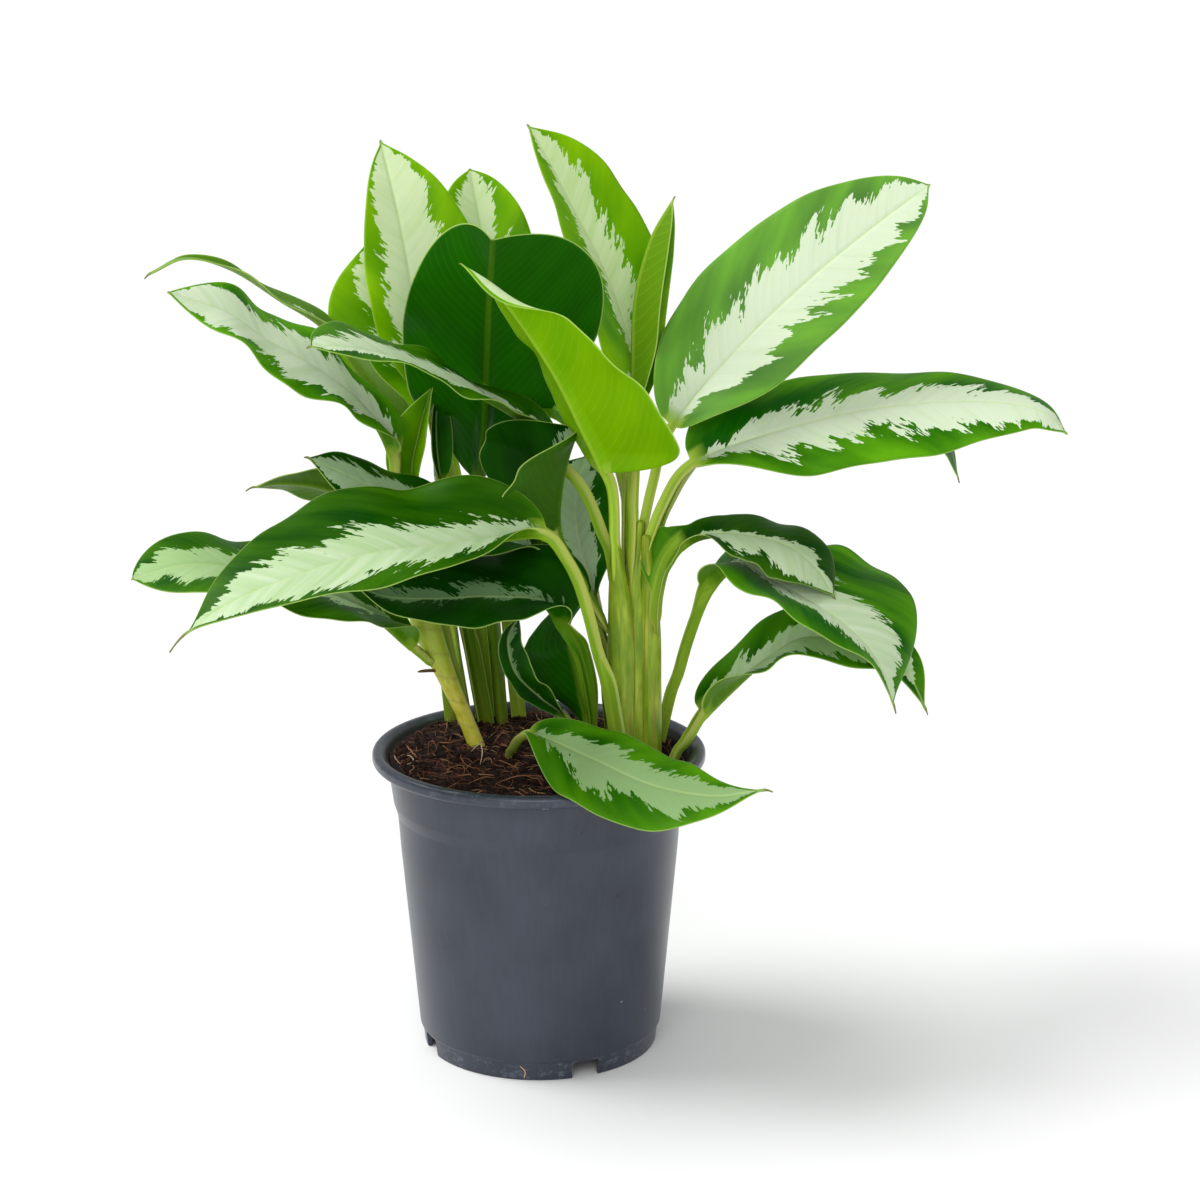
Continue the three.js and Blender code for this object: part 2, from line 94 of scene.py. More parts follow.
def ring_quads(rings, around):
    """Quads between neighbouring closed rings of points, as index numbers into the list."""
    i, j = np.meshgrid(np.arange(rings - 1), np.arange(around), indexing="ij")
    a = i * around + j
    b = i * around + (j + 1) % around
    return np.stack([a, b, b + around, a + around], axis=-1).reshape(-1, 4)


def tube_faces(rings, around):
    """The same quads, and one face at each end that closes the tube."""
    last = (rings - 1) * around
    ends = [list(range(around))[::-1], list(range(last, last + around))]
    return ring_quads(rings, around).tolist() + ends


def new_piece(name, points, faces, material, body="root"):
    """A smooth-shaded mesh from points in millimetres about the pot's axis."""
    mesh = bpy.data.meshes.new(name)
    place = np.asarray(points, float).reshape(-1, 3) * 0.001 + AXIS
    mesh.from_pydata(place, [], faces.tolist() if isinstance(faces, np.ndarray) else faces)
    mesh.polygons.foreach_set("use_smooth", np.ones(len(mesh.polygons), bool))
    mesh.materials.append(material)
    mesh.update()
    piece = bpy.data.objects.new(name, mesh)
    bpy.context.scene.collection.objects.link(piece)
    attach(piece, body)
    return piece


def give(piece, name, values):
    """One number, or three, for each vertex of a piece, which its material can read."""
    kind = "FLOAT" if values.ndim == 1 else "FLOAT_VECTOR"
    attribute = piece.data.attributes.new(name, kind, "POINT")
    attribute.data.foreach_set("value" if values.ndim == 1 else "vector",
                               np.ascontiguousarray(values, np.float32).ravel())


def new_material(name):
    """An empty node material with a Principled shader; returns it, its tree and the shader."""
    material = bpy.data.materials.new(name)
    material.use_nodes = True
    tree = material.node_tree
    return material, tree, tree.nodes["Principled BSDF"]


def fit(tree, node, inputs):
    """Give a node's sockets, by name or number, a value each or a link from an output."""
    for socket, value in inputs.items():
        if isinstance(value, bpy.types.NodeSocket):
            tree.links.new(value, node.inputs[socket])
        else:
            node.inputs[socket].default_value = value


def add(tree, kind, *inputs, out=0, stops=(), **settings):
    """Add a node and return one of its outputs. Its first sockets take the inputs in order,
    or one dict of them; settings are its options; stops are the colours of a ramp."""
    node = tree.nodes.new("ShaderNode" + kind)
    for option, value in settings.items():
        setattr(node, option, value)
    if not (inputs and isinstance(inputs[0], dict)):
        inputs = [dict(enumerate(inputs))]
    fit(tree, node, inputs[0])
    for i, (position, colour) in enumerate(stops):
        band = node.color_ramp.elements
        element = band[i] if i < len(band) else band.new(position)
        element.position = position
        element.color = linear(colour)
    return node.outputs[out]


def product(tree, *ramps):
    """Several ramps multiplied. Each is an output, the two values of it between which the
    ramp runs, and the ramp's height at the one and at the other."""
    total = None
    for output, *numbers in ramps:
        ramp = add(tree, "MapRange", output, *numbers)
        total = ramp if total is None else add(tree, "Math", total, ramp,
                                               operation="MULTIPLY")
    return total


def coated(tree, colour, *coats):
    """Lay coats over a colour, one after the other. Each is an output that says how much of
    the coat there is, or a ramp of it as above, and then the coat's colour."""
    for output, *numbers, tint in coats:
        share = product(tree, (output, *numbers)) if numbers else output
        tint = linear(tint) if isinstance(tint, str) else tint
        colour = add(tree, "Mix", {0: share, 6: colour, 7: tint}, out=2, data_type="RGBA")
    return colour


LATTICE = 64


def hills(x, y, size, seed):
    """Random heights on a square lattice of that size, blended smoothly between corners.
    The lattice is shifted far enough to have no square below 0, and repeats itself."""
    table = np.random.default_rng(seed).random((LATTICE, LATTICE))
    u, v = x / size + 1000, y / size + 1000
    i, j = np.floor(u).astype(int), np.floor(v).astype(int)
    a, b = smooth(u - i), smooth(v - j)
    i, j = i % LATTICE, j % LATTICE
    k, m = (i + 1) % LATTICE, (j + 1) % LATTICE
    near = table[i, j] * (1 - a) + table[k, j] * a
    far = table[i, m] * (1 - a) + table[k, m] * a
    return near * (1 - b) + far * b


# %% [markdown]
# ## The pot's plastic
# The pot is injection-moulded polypropylene, tinted dark slate. Such a wall is satin: it
# left a polished mould and has been rubbed in handling, so it shows a soft broad sheen,
# faint cloudy patches, fine scratches, a few white specks of dust and lime, and pale
# scuffs where it was knocked, on the foot ring and on the rim.

# %% Slate polypropylene
plastic, tree, shader = new_material("slate_polypropylene")
here = add(tree, "TexCoord", out=3)
cloud = add(tree, "TexNoise", {"Vector": here, "Scale": 24.0, "Detail": 4.0})
base = add(tree, "ValToRGB", cloud, stops=[(0.3, "#222834"), (0.7, "#323947")])
# Fine upright marks from the mould: about 1 mm wide and ten times as long.
tall = add(tree, "VectorMath", here, (1.0, 1.0, 0.1), operation="MULTIPLY")
drawn = add(tree, "TexNoise", {"Vector": tall, "Scale": 420.0, "Detail": 2.0})
# Dust and lime specks, one in every few centimetres, drawn 1 mm wide so that they show.
grid = add(tree, "TexVoronoi", {"Vector": here, "Scale": 120.0})
rare = add(tree, "TexNoise", {"Vector": here, "Scale": 33.0, "Detail": 1.0})
speck = product(tree, (grid, 0.09, 0.05, 0.0, 1.0), (rare, 0.66, 0.70, 0.0, 0.6))
# Scuffs: the height above the ground picks the foot ring and the rim.
height = add(tree, "SeparateXYZ", here, out=2)
low = add(tree, "MapRange", height, 0.012, 0.009, 0.0, 1.0)
high = add(tree, "MapRange", height, 0.1685, 0.1705, 0.0, 0.5)
rubbed = add(tree, "Math", low, high, operation="ADD")
rough = add(tree, "VectorMath", here, (1.0, 1.0, 1.7), operation="MULTIPLY")
scratch = add(tree, "TexNoise", {"Vector": rough, "Scale": 190.0, "Detail": 8.0,
                                 "Roughness": 0.72})
scratch = add(tree, "MapRange", scratch, 0.52, 0.74, 0.0, 0.5)
rubbed = add(tree, "Math", rubbed, scratch, operation="MULTIPLY")
# One whitish knock on the front of the rim, about 5 mm across.
knock = add(tree, "VectorMath", here, tuple(AXIS + [0.002, -0.0945, 0.1695]), out=1,
            operation="DISTANCE")
knock = product(tree, (knock, 0.0048, 0.001, 0.0, 1.0), (scratch, 0.05, 0.3, 0.0, 1.0))
# Where the wall faces the pot's axis, below the rim, it is painted dark: painted shade inside the
# pot, also made a little rougher.
away = add(tree, "VectorMath", here, tuple(AXIS), operation="SUBTRACT")
away = add(tree, "VectorMath", away, (1.0, 1.0, 0.0), operation="MULTIPLY")
away = add(tree, "VectorMath", away, operation="NORMALIZE")
facing = add(tree, "VectorMath", add(tree, "NewGeometry", out=1), away, out=1,
             operation="DOT_PRODUCT")
painted_inner_shade = product(tree, (facing, -0.2, -0.5, 0.0, 1.0), (height, 0.150, 0.152, 0.0, 0.85),
                (height, 0.1745, 0.1725, 0.0, 1.0))
base = coated(tree, base, (drawn, 0.45, 0.8, 0.0, 0.06, "#5c6474"), (speck, "#b9bdc4"),
              (rubbed, "#8d94a0"), (knock, "#dfe2e6"), (painted_inner_shade, "#120f0d"))
gloss = add(tree, "MapRange", cloud, 0.3, 0.7, 0.26, 0.36)
gloss = add(tree, "Math", painted_inner_shade, 0.4, gloss, operation="MULTIPLY_ADD")
grain = add(tree, "TexNoise", {"Vector": here, "Scale": 900.0, "Detail": 2.0})
bump = add(tree, "Bump", {"Height": grain, "Strength": 0.1, "Distance": 0.0003})
fit(tree, shader, {"Base Color": base, "Roughness": gloss, "Normal": bump, "IOR": 1.49})
print("material", plastic.name, len(tree.nodes), "nodes")

# %% [markdown]
# ## The pot
# A nursery pot is one thin shell: a rolled rim that stiffens the mouth, a collar below it,
# a long tapered body, and a small step above the foot ring. It could be modelled as a
# cylinder and pushed about, but a turned shape is exact: a profile of radius and height is
# carried round the axis. Each corner of the profile is rounded first, because no moulded
# corner is sharp. The four drain notches are then cut out of the foot.

# %% Profile of the pot, in millimetres: radius, height
RIM, WALL, FLOOR, STEP = 95.0, 1.9, 14.0, 11.8
POT_PROFILE = np.array([
    (0.5, STEP), (65.2, STEP), (64.8, 0), (67.4, 0), (68.6, 11.0), (70, STEP), (79.6, 119),
    (80.4, 131), (81.1, 139), (83.3, 146), (84.9, 158), (86, 168.5),
    (93.4, 168.8), (RIM, 170.4), (RIM, 174.2), (93.4, 176), (90.4, 176), (87.6, 173.6),
    (84.8, 169.6), (84.9 - WALL, 158), (83.3 - WALL, 146.6), (81.1 - WALL, 139.4),
    (79.6 - WALL, 119), (68.3, FLOOR), (0.5, FLOOR)])


def rounded(profile, radius, steps=5):
    """Each inner corner P becomes (1-t)^2 A + 2t(1-t) P + t^2 B, where A and B lie a short
    way from P along its two sides, never past 0.45 of a side."""
    p = profile[1:-1]
    back, ahead = profile[:-2] - p, profile[2:] - p
    lb = np.linalg.norm(back, axis=1, keepdims=True)
    la = np.linalg.norm(ahead, axis=1, keepdims=True)
    a = p + back / lb * np.minimum(radius, 0.45 * lb)
    b = p + ahead / la * np.minimum(radius, 0.45 * la)
    t = np.linspace(0, 1, steps)[None, :, None]
    bent = (1 - t) ** 2 * a[:, None] + 2 * t * (1 - t) * p[:, None] + t ** 2 * b[:, None]
    return np.concatenate([profile[:1], bent.reshape(-1, 2), profile[-1:]])


def turned(profile, around=216):
    """Point (r, h) of the profile goes to (r sin a, -r cos a, h) for each angle a."""
    a = np.linspace(0, 2 * np.pi, around, endpoint=False)
    r, h = profile[:, :1], profile[:, 1:]
    points = np.stack([r * np.sin(a), -r * np.cos(a), h + 0 * a], axis=-1)
    return points, tube_faces(len(profile), around)


points, faces = turned(rounded(POT_PROFILE, 1.0))
pot = new_piece("moulded_pot", points, faces, plastic)

# %% Cut the drain notches
NOTCHES = (22, 112, 202, 292)
# The width, length and height of each hole, and the y and z of its middle before it is
# turned by the angle of its notch.
HOLES = {"notch": (16, 14, 12, -66, 4), "drain": (12, 9, 12, -58, 12)}


def cutter(name, width, length, height, y, z, degrees):
    """A box with two rounded upper corners, set out along -y and turned about the axis."""
    x = np.array([1, -1, -1, -0.86, 0.86, 1]) * width / 2
    h = np.array([-1, -1, 0.72, 1, 1, 0.72]) * height / 2 + z
    turn = math.radians(degrees)
    ends = []
    for depth in (y - length / 2, y + length / 2):
        ends.append(np.stack([x * math.cos(turn) - depth * math.sin(turn),
                              x * math.sin(turn) + depth * math.cos(turn), h], axis=-1))
    return new_piece(name, np.concatenate(ends), tube_faces(2, len(x)), plastic)


cutters = [cutter(f"{hole}_{d}", *size, d) for hole, size in HOLES.items() for d in NOTCHES]
with bpy.context.temp_override(active_object=pot, object=pot, selected_objects=[pot],
                               selected_editable_objects=[pot]):
    for tool in cutters:
        cut = pot.modifiers.new(tool.name, "BOOLEAN")
        cut.object = tool
        cut.operation = "DIFFERENCE"
        cut.solver = "EXACT"
        bpy.ops.object.modifier_apply(modifier=cut.name)
for tool in cutters:
    bpy.data.objects.remove(tool)
pot.data.polygons.foreach_set("use_smooth", np.ones(len(pot.data.polygons), bool))
pot.data.set_sharp_from_angle(angle=math.radians(40))
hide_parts("pot")
print("pot", len(pot.data.polygons), "faces")

# %% [markdown]
# ## Soil
# The pot holds peat with coconut fibre in it. From a step away it is a dark crumbly bed,
# full of glints of reddish fibre. The bed is a turned surface whose top is raised by
# random hills of three sizes. Crumbs and fibres are real little shapes on top of it,
# because bump alone would look flat at the rim, where the bed is seen almost edge on.

# %% Soil finishes
peat, tree, shader = new_material("damp_peat")
here = add(tree, "TexCoord", out=3)
clump = add(tree, "TexNoise", {"Vector": here, "Scale": 190.0, "Detail": 8.0,
                               "Roughness": 0.72})
dark = add(tree, "ValToRGB", clump,
           stops=[(0.3, "#0a0403"), (0.52, "#1f0e08"), (0.74, "#472513")])
bump = add(tree, "Bump", {"Height": clump, "Strength": 0.9, "Distance": 0.0016})
fit(tree, shader, {"Base Color": dark, "Normal": bump, "Roughness": 0.92,
                   "Specular IOR Level": 0.25})

coir, tree, shader = new_material("coconut_fibre")
shade = add(tree, "Attribute", out=2, attribute_name="fibre_shade")
tone = add(tree, "ValToRGB", shade, stops=[(0.0, "#250f08"), (0.5, "#5c2d19"),
                                           (0.8, "#9a623e"), (1.0, "#d2b088")])
fit(tree, shader, {"Base Color": tone, "Roughness": 0.62})
print("materials", peat.name, coir.name)

# %% The bed
SOIL_TOP = 167.0


def soil_height(x, y):
    """A level of 167.6 mm, 0.8 mm lower by the wall, banked up by 4.5 mm towards the back
    and the left, with hills 26, 9 and 3.5 mm across."""
    r = np.hypot(x, y)
    bank = 4.5 * smooth((0.6 * y - x) / 90 + 0.3)
    rough = (4.2 * (hills(x, y, 26, 1) - 0.5) + 2.6 * (hills(x, y, 9, 2) - 0.5)
             + 1.5 * (hills(x, y, 3.5, 3) - 0.5))
    return SOIL_TOP + 0.6 + bank + rough * smooth((86 - r) / 10) - 0.8 * smooth((r - 70) / 15)


wall = np.array([(84.6, 164), (82.6, 158), (81.0, 146.6), (77.3, 119), (67.7, 14.4),
                 (0.5, 14.4)])
top = np.linspace(0.5, 85.1, 76)
profile = np.concatenate([wall[::-1], np.stack([top, 0 * top + SOIL_TOP], axis=-1)[::-1]])
points, faces = turned(profile, 240)
crown = slice(len(wall), None)
points[crown, :, 2] = soil_height(points[crown, :, 0], points[crown, :, 1])
bed = new_piece("soil_bed", points, faces, peat)
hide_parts("soil")

# %% Crumbs of peat
chance = np.random.default_rng(11)
CRUMBS, CRUMBS_REACH = 1500, 83
# A lump is a ball of 12 corners and 20 faces, each of its corners stretched at random.
GOLDEN = 1.618
ico = np.array([(0, 1, GOLDEN), (0, -1, GOLDEN), (GOLDEN, 0, 1), (-GOLDEN, 0, 1),
                (1, GOLDEN, 0), (-1, GOLDEN, 0), (1, -GOLDEN, 0), (-1, -GOLDEN, 0),
                (GOLDEN, 0, -1), (-GOLDEN, 0, -1), (0, 1, -GOLDEN), (0, -1, -GOLDEN)]) / 1.9
ico_faces = np.array([(0, 1, 2), (0, 3, 1), (0, 2, 4), (0, 5, 3), (0, 4, 5), (1, 6, 2),
                      (1, 3, 7), (1, 7, 6), (2, 8, 4), (3, 5, 9), (2, 6, 8), (3, 9, 7),
                      (4, 10, 5), (4, 8, 10), (5, 10, 9), (6, 7, 11), (6, 11, 8),
                      (7, 9, 11), (8, 11, 10), (9, 10, 11)])
r = CRUMBS_REACH * np.sqrt(chance.random(CRUMBS))
a = 2 * np.pi * chance.random(CRUMBS)
spot = np.stack([r * np.cos(a), r * np.sin(a)], axis=-1)
size = 0.5 + 1.9 * chance.random(CRUMBS) ** 3
stretch = size[:, None, None] * (0.55 + 0.9 * chance.random((CRUMBS, len(ico), 3)))
lump = ico[None] * stretch
lump[:, :, :2] += spot[:, None]
lump[:, :, 2] += (soil_height(spot[:, 0], spot[:, 1]) + 0.25 * size)[:, None]
faces = (ico_faces[None] + len(ico) * np.arange(CRUMBS)[:, None, None]).reshape(-1, 3)
crumbs = new_piece("soil_crumbs", lump, faces, peat)
print("crumbs", CRUMBS)

# %% A strand: a thin tapering thread along many paths at once
PATH_POINTS, STRAND_SIDES = 11, 5


def strands(paths, radius, around=STRAND_SIDES):
    """Each path is a row of points. A ring of points stands square to it at each one,
    with a radius that swells from nothing at both ends as sin(pi t) to the power 0.35."""
    count, steps, _ = paths.shape
    along = np.gradient(paths, axis=1)
    along /= np.linalg.norm(along, axis=2, keepdims=True) + 1e-9
    side = np.cross(along, (0.13, 0.21, 0.97))
    side /= np.linalg.norm(side, axis=2, keepdims=True) + 1e-9
    up = np.cross(side, along)
    t = np.linspace(0.02, 0.98, steps)
    thick = np.asarray(radius)[:, None] * np.sin(np.pi * t)[None] ** 0.35
    a = np.linspace(0, 2 * np.pi, around, endpoint=False)
    ring = (side[:, :, None] * np.cos(a)[None, None, :, None]
            + up[:, :, None] * np.sin(a)[None, None, :, None])
    points = paths[:, :, None] + ring * thick[:, :, None, None]
    one = ring_quads(steps, around)
    quads = (one[None] + steps * around * np.arange(count)[:, None, None]).reshape(-1, 4)
    first = np.arange(count)[:, None] * steps * around
    caps = [(first + np.arange(around)[::-1]).tolist(),
            (first + (steps - 1) * around + np.arange(around)).tolist()]
    return points, quads.tolist() + caps[0] + caps[1]


# %% Coconut fibres
# Each starts somewhere on the bed and bends evenly. What would leave the pot is pulled in.
FIBRES, FIBRES_REACH, BED_RADIUS = 760, 80, 82.5
r = FIBRES_REACH * np.sqrt(chance.random(FIBRES))
a = 2 * np.pi * chance.random(FIBRES)
start = np.stack([r * np.cos(a), r * np.sin(a)], axis=-1)
heading = 2 * np.pi * chance.random(FIBRES)
length = 6 + 26 * chance.random(FIBRES) ** 1.6
bend = chance.normal(0, 1.5, FIBRES)
t = np.linspace(0, 1, PATH_POINTS)
turn = heading[:, None] + bend[:, None] * (t - 0.5)
step = length[:, None] / (PATH_POINTS - 1)
x = start[:, :1] + np.cumsum(np.cos(turn) * step, axis=1)
y = start[:, 1:] + np.cumsum(np.sin(turn) * step, axis=1)
pull = np.minimum(1, BED_RADIUS / np.hypot(x, y))
x, y = x * pull, y * pull
lift = 0.35 + 4.5 * chance.random(FIBRES)[:, None] ** 4 * np.sin(np.pi * t)
paths = np.stack([x, y, soil_height(x, y) + lift], axis=-1)
thread = 0.14 + 0.24 * chance.random(FIBRES) ** 2
points, faces = strands(paths, thread)
fibres = new_piece("coir_fibres", points, faces, coir)
shade = 0.85 * chance.random(FIBRES) ** 1.3 + 0.15 * chance.random(FIBRES)
give(fibres, "fibre_shade", np.repeat(shade, PATH_POINTS * STRAND_SIDES))

# %% A stray fibre, stuck to the front of the foot ring
turn = np.radians(-10 + 3.0 * t + 1.2 * np.sin(4 * t))
path = np.stack([68.4 * np.sin(turn), -68.4 * np.cos(turn), 9.0 - 7.5 * t], axis=-1)
points, faces = strands(path[None], [0.3])
straw = new_piece("stray_fibre", points, faces, coir)
give(straw, "fibre_shade", np.full(len(straw.data.vertices), 1.0))
print("fibres", FIBRES, "longest", round(float(length.max()), 1), "mm")

# %% [markdown]
# ## Leaf finishes
# A living leaf is a thin sheet of green cells under a clear waxy skin. The wax gives a
# soft, slightly broken shine. Light also passes through the sheet and comes out yellower,
# which the shader's subsurface part stands for. This kind is silver in the middle: air
# under the skin of the upper side makes those cells pale, and the silver runs out along
# the side veins towards a deep green margin. The pattern is therefore drawn in the leaf's
# own measures, which the next cells store on each point: the share of the way to the
# margin, the share of the way to the tip, and millimetres along and across the veins.

# %% One builder for the three leaf colours
# Side veins leave the midrib every 7 mm.
VEIN_GAP = 7.0
LOOKS = {
    # margin deep, margin light, silver deep, silver light, underside, stalk
    "leaf": ("#105600", "#5a9c08", "#9dbb82", "#c8d5ba", "#5c8e08", "#8fae34"),
    "young_leaf": ("#4c8c00", "#80b400", "#a6c676", "#ccdcb0", "#78aa00", "#a8c444"),
    # The dark kind is painted shade: its deeper greens are for leaves that lie in shade deep in
    # the plant.
    "dark_leaf": ("#083e00", "#2a7602", "#7c9c70", "#a9be9b", "#1a6000", "#66881a"),
}


def leaf_material(name, look):
    """Colour = stalk, underside or top. The top is green or silver, picked by the distance
    in millimetres from the silver's ragged border, then midrib, veins and margin line."""
    deep, light, silver_deep, silver_light, under, stalk = (linear(code) for code in look)
    material, tree, shader = new_material(name)
    place, veins, tone = (add(tree, "Attribute", out=1, attribute_name=fact)
                          for fact in ("leaf_place", "leaf_mm", "leaf_tone_and_shade"))
    from_edge, olive = (add(tree, "Attribute", out=2, attribute_name=fact)
                        for fact in ("leaf_edge", "leaf_olive"))
    across, along, is_upper = (add(tree, "SeparateXYZ", place, out=k) for k in range(3))
    vein, from_rib = (add(tree, "SeparateXYZ", veins, out=k) for k in range(2))
    depth, reach, paleness_and_light = (add(tree, "SeparateXYZ", tone, out=k) for k in range(3))
    across, from_rib = (add(tree, "Math", signed, operation="ABSOLUTE")
                        for signed in (across, from_rib))

    # Noise drawn out along the side veins. Each kind of mark has its own size in
    # millimetres: along the leaf, and outwards from the midrib.
    marks = {}
    for mark, along_mm, outwards_mm, detail in (
            ("bay", 13, 22, 2), ("tooth", 4, 9, 3), ("fleck", 1.7, 3.6, 1),
            ("cloud", 30, 40, 2), ("thread", 7, 60, 2), ("cord", 45, 1.3, 2)):
        scaled = add(tree, "VectorMath", veins, (1 / along_mm, 1 / outwards_mm, 1.0),
                     operation="MULTIPLY")
        marks[mark] = add(tree, "TexNoise", {"Vector": scaled, "Scale": 1.0,
                                             "Detail": float(detail)})

    # The border lies at a share of the half's width: a little at the base, more later.
    grow = add(tree, "MapRange", along, 0.0, 0.3, 0.55, 1.0)
    end = add(tree, "MapRange", along, 0.55, 1.0, 0.0, 0.25)
    share = add(tree, "Math", reach, grow, end, operation="MULTIPLY_ADD")
    width = add(tree, "Math", from_rib, from_edge, operation="ADD")
    inside = add(tree, "Math", share, width, operation="MULTIPLY")
    inside = add(tree, "Math", inside, from_rib, operation="SUBTRACT")
    # The marks are smaller where the leaf is narrower.
    size = add(tree, "MapRange", width, 5.0, 40.0, 0.2, 1.0)
    for mark, height in (("bay", 40.0), ("tooth", 18.0), ("fleck", 17.0)):
        push = add(tree, "Math", marks[mark], 0.5, operation="SUBTRACT")
        push = add(tree, "Math", push, size, operation="MULTIPLY")
        inside = add(tree, "Math", push, height, inside, operation="MULTIPLY_ADD")
    # A margin of at least 1.5 mm stays green, and a leaf with no reach has no silver.
    held = add(tree, "Math", from_edge, 1.5, operation="SUBTRACT")
    inside = add(tree, "Math", inside, held, operation="MINIMUM")
    silver = product(tree, (inside, -0.2, 0.25, 0.0, 1.0), (along, 0.0, 0.05, 0.0, 1.0))
    bare = add(tree, "Math", reach, 0.02, operation="GREATER_THAN")
    silver = add(tree, "Math", silver, bare, operation="MULTIPLY")

    # The green is lighter in clouds and towards the margin. It is deeper on a leaf with depth,
    # which is painted shade, and a negative depth is a painted grey sheen. The web beside a
    # stalk is plain and light.
    shade = add(tree, "MapRange", marks["cloud"], 0.35, 0.68, 0.0, 0.75)
    # Painted light: the green grows lighter towards the margin.
    painted_margin_light = add(tree, "MapRange", across, 0.6, 1.0, 0.0, 0.35)
    shade = add(tree, "Math", shade, painted_margin_light, operation="ADD", use_clamp=True)
    lighter = add(tree, "MapRange", along, -0.05, 0.05, 0.8, 0.0)
    shade = add(tree, "Math", shade, lighter, operation="MAXIMUM")
    painted_shade = add(tree, "MapRange", along, -0.05, 0.05, 0.4, 0.75)
    painted_shade = add(tree, "Math", depth, painted_shade, operation="MULTIPLY", use_clamp=True)
    painted_sheen = add(tree, "Math", depth, -1.0, operation="MULTIPLY", use_clamp=True)
    green = coated(tree, deep, (shade, light), (painted_shade, "#062e00"), (painted_sheen, "#93b86a"),
                   (olive, 0.5, 1.0, 0.0, 0.9, "#5f8420"))
    # The silver is streaked along its threads. A paleness above 0 makes it paler, partly as
    # painted light; where the paleness is below -0.5 it dims with painted shade.
    shade = add(tree, "MapRange", marks["thread"], 0.3, 0.7, 0.2, 0.7)
    shade = add(tree, "Math", shade, paleness_and_light, operation="ADD", use_clamp=True)
    pale = coated(tree, silver_deep, (shade, silver_light),
                  (paleness_and_light, -0.5, -1.0, 0.0, 0.5, deep))

    # Over both: lines along the side veins, the midrib and the margin line.
    wave = add(tree, "Math", vein, 2 * math.pi / VEIN_GAP, operation="MULTIPLY")
    wave = add(tree, "Math", wave, operation="SINE")
    top = coated(tree, green, (silver, pale), (wave, 0.9, 1.0, 0.0, 0.05, light),
                 (from_rib, 1.0, 0.4, 0.0, 0.4, "#b5cf86"),
                 (from_edge, 0.6, 0.2, 0.0, 0.5, "#a9c46a"))
    # The underside has no silver. Its midrib stands proud and is paler.
    # Painted shade: a leaf with depth has a darker underside too.
    painted_shade = add(tree, "Math", depth, 0.45, operation="MULTIPLY", use_clamp=True)
    below = coated(tree, under, (marks["cloud"], 0.3, 0.7, 0.0, 0.45, deep),
                   (olive, "#5f8420"), (painted_shade, "#0a3200"),
                   (wave, 0.88, 1.0, 0.0, 0.12, stalk),
                   (from_rib, 2.2, 1.0, 0.0, 0.32, stalk),
                   (from_edge, 0.8, 0.3, 0.0, 0.7, "#b4cf6e"))
    # The stalk has long faint threads and a paler, drier foot. On a leaf whose silver is pale
    # it gets painted yellow light.
    stem = coated(tree, stalk, (marks["cord"], 0.35, 0.68, 0.0, 0.7, under),
                  (paleness_and_light, 0.3, 0.5, 0.0, 0.4, "#c6e05a"),
                  (from_edge, 0.9, 0.3, 0.0, 0.55, "#b9b766"),
                  (along, -0.6, -1.0, 0.0, 0.4, "#9a9a34"))
    # A web past 4.5 mm from the stalk's middle counts as blade. The drip tip is dry.
    on_blade = add(tree, "MapRange", along, 0.0, 0.05, 0.0, 1.0)
    web = add(tree, "MapRange", from_rib, 4.5, 8.0, 0.0, 1.0)
    on_blade = add(tree, "Math", on_blade, web, operation="MAXIMUM")
    colour = coated(tree, stem, (on_blade, coated(tree, below, (is_upper, top))),
                    (along, 0.997, 1.01, 0.0, 0.85, "#6f6440"))

    gloss = add(tree, "MapRange", marks["cloud"], 0.3, 0.7, 0.34, 0.44)
    swell = add(tree, "Math", wave, on_blade, operation="MULTIPLY")
    swell = add(tree, "Math", swell, 0.16, marks["thread"], operation="MULTIPLY_ADD")
    bump = add(tree, "Bump", {"Height": swell, "Strength": 0.22, "Distance": 0.0006})
    fit(tree, shader, {"Base Color": colour, "Roughness": gloss, "Normal": bump,
                       "IOR": 1.4, "Specular IOR Level": 0.08,
                       "Subsurface Weight": 0.2, "Subsurface Scale": 0.002,
                       "Subsurface Radius": (0.6, 1.0, 0.15)})
    return material


finish = {kind: leaf_material("waxy_" + kind, look) for kind, look in LOOKS.items()}
print("leaf materials", [m.name for m in finish.values()])

# %% [markdown]
# ## The leaves
# Every leaf has a stalk and a blade and is one sweep: a smooth line runs from its foot to
# its tip, and a cross-section travels along it. On the stalk the section is a channel that
# clasps the stem. On the blade it is a shallow V with a keel below, so wide as the outline
# asks. Each half may fold and curl by its own angle, because no real leaf is even. A
# plane cut to shape and bent by hand would also do, but 28 leaves would take a day,
# and they'd miss the places that the model gives them.

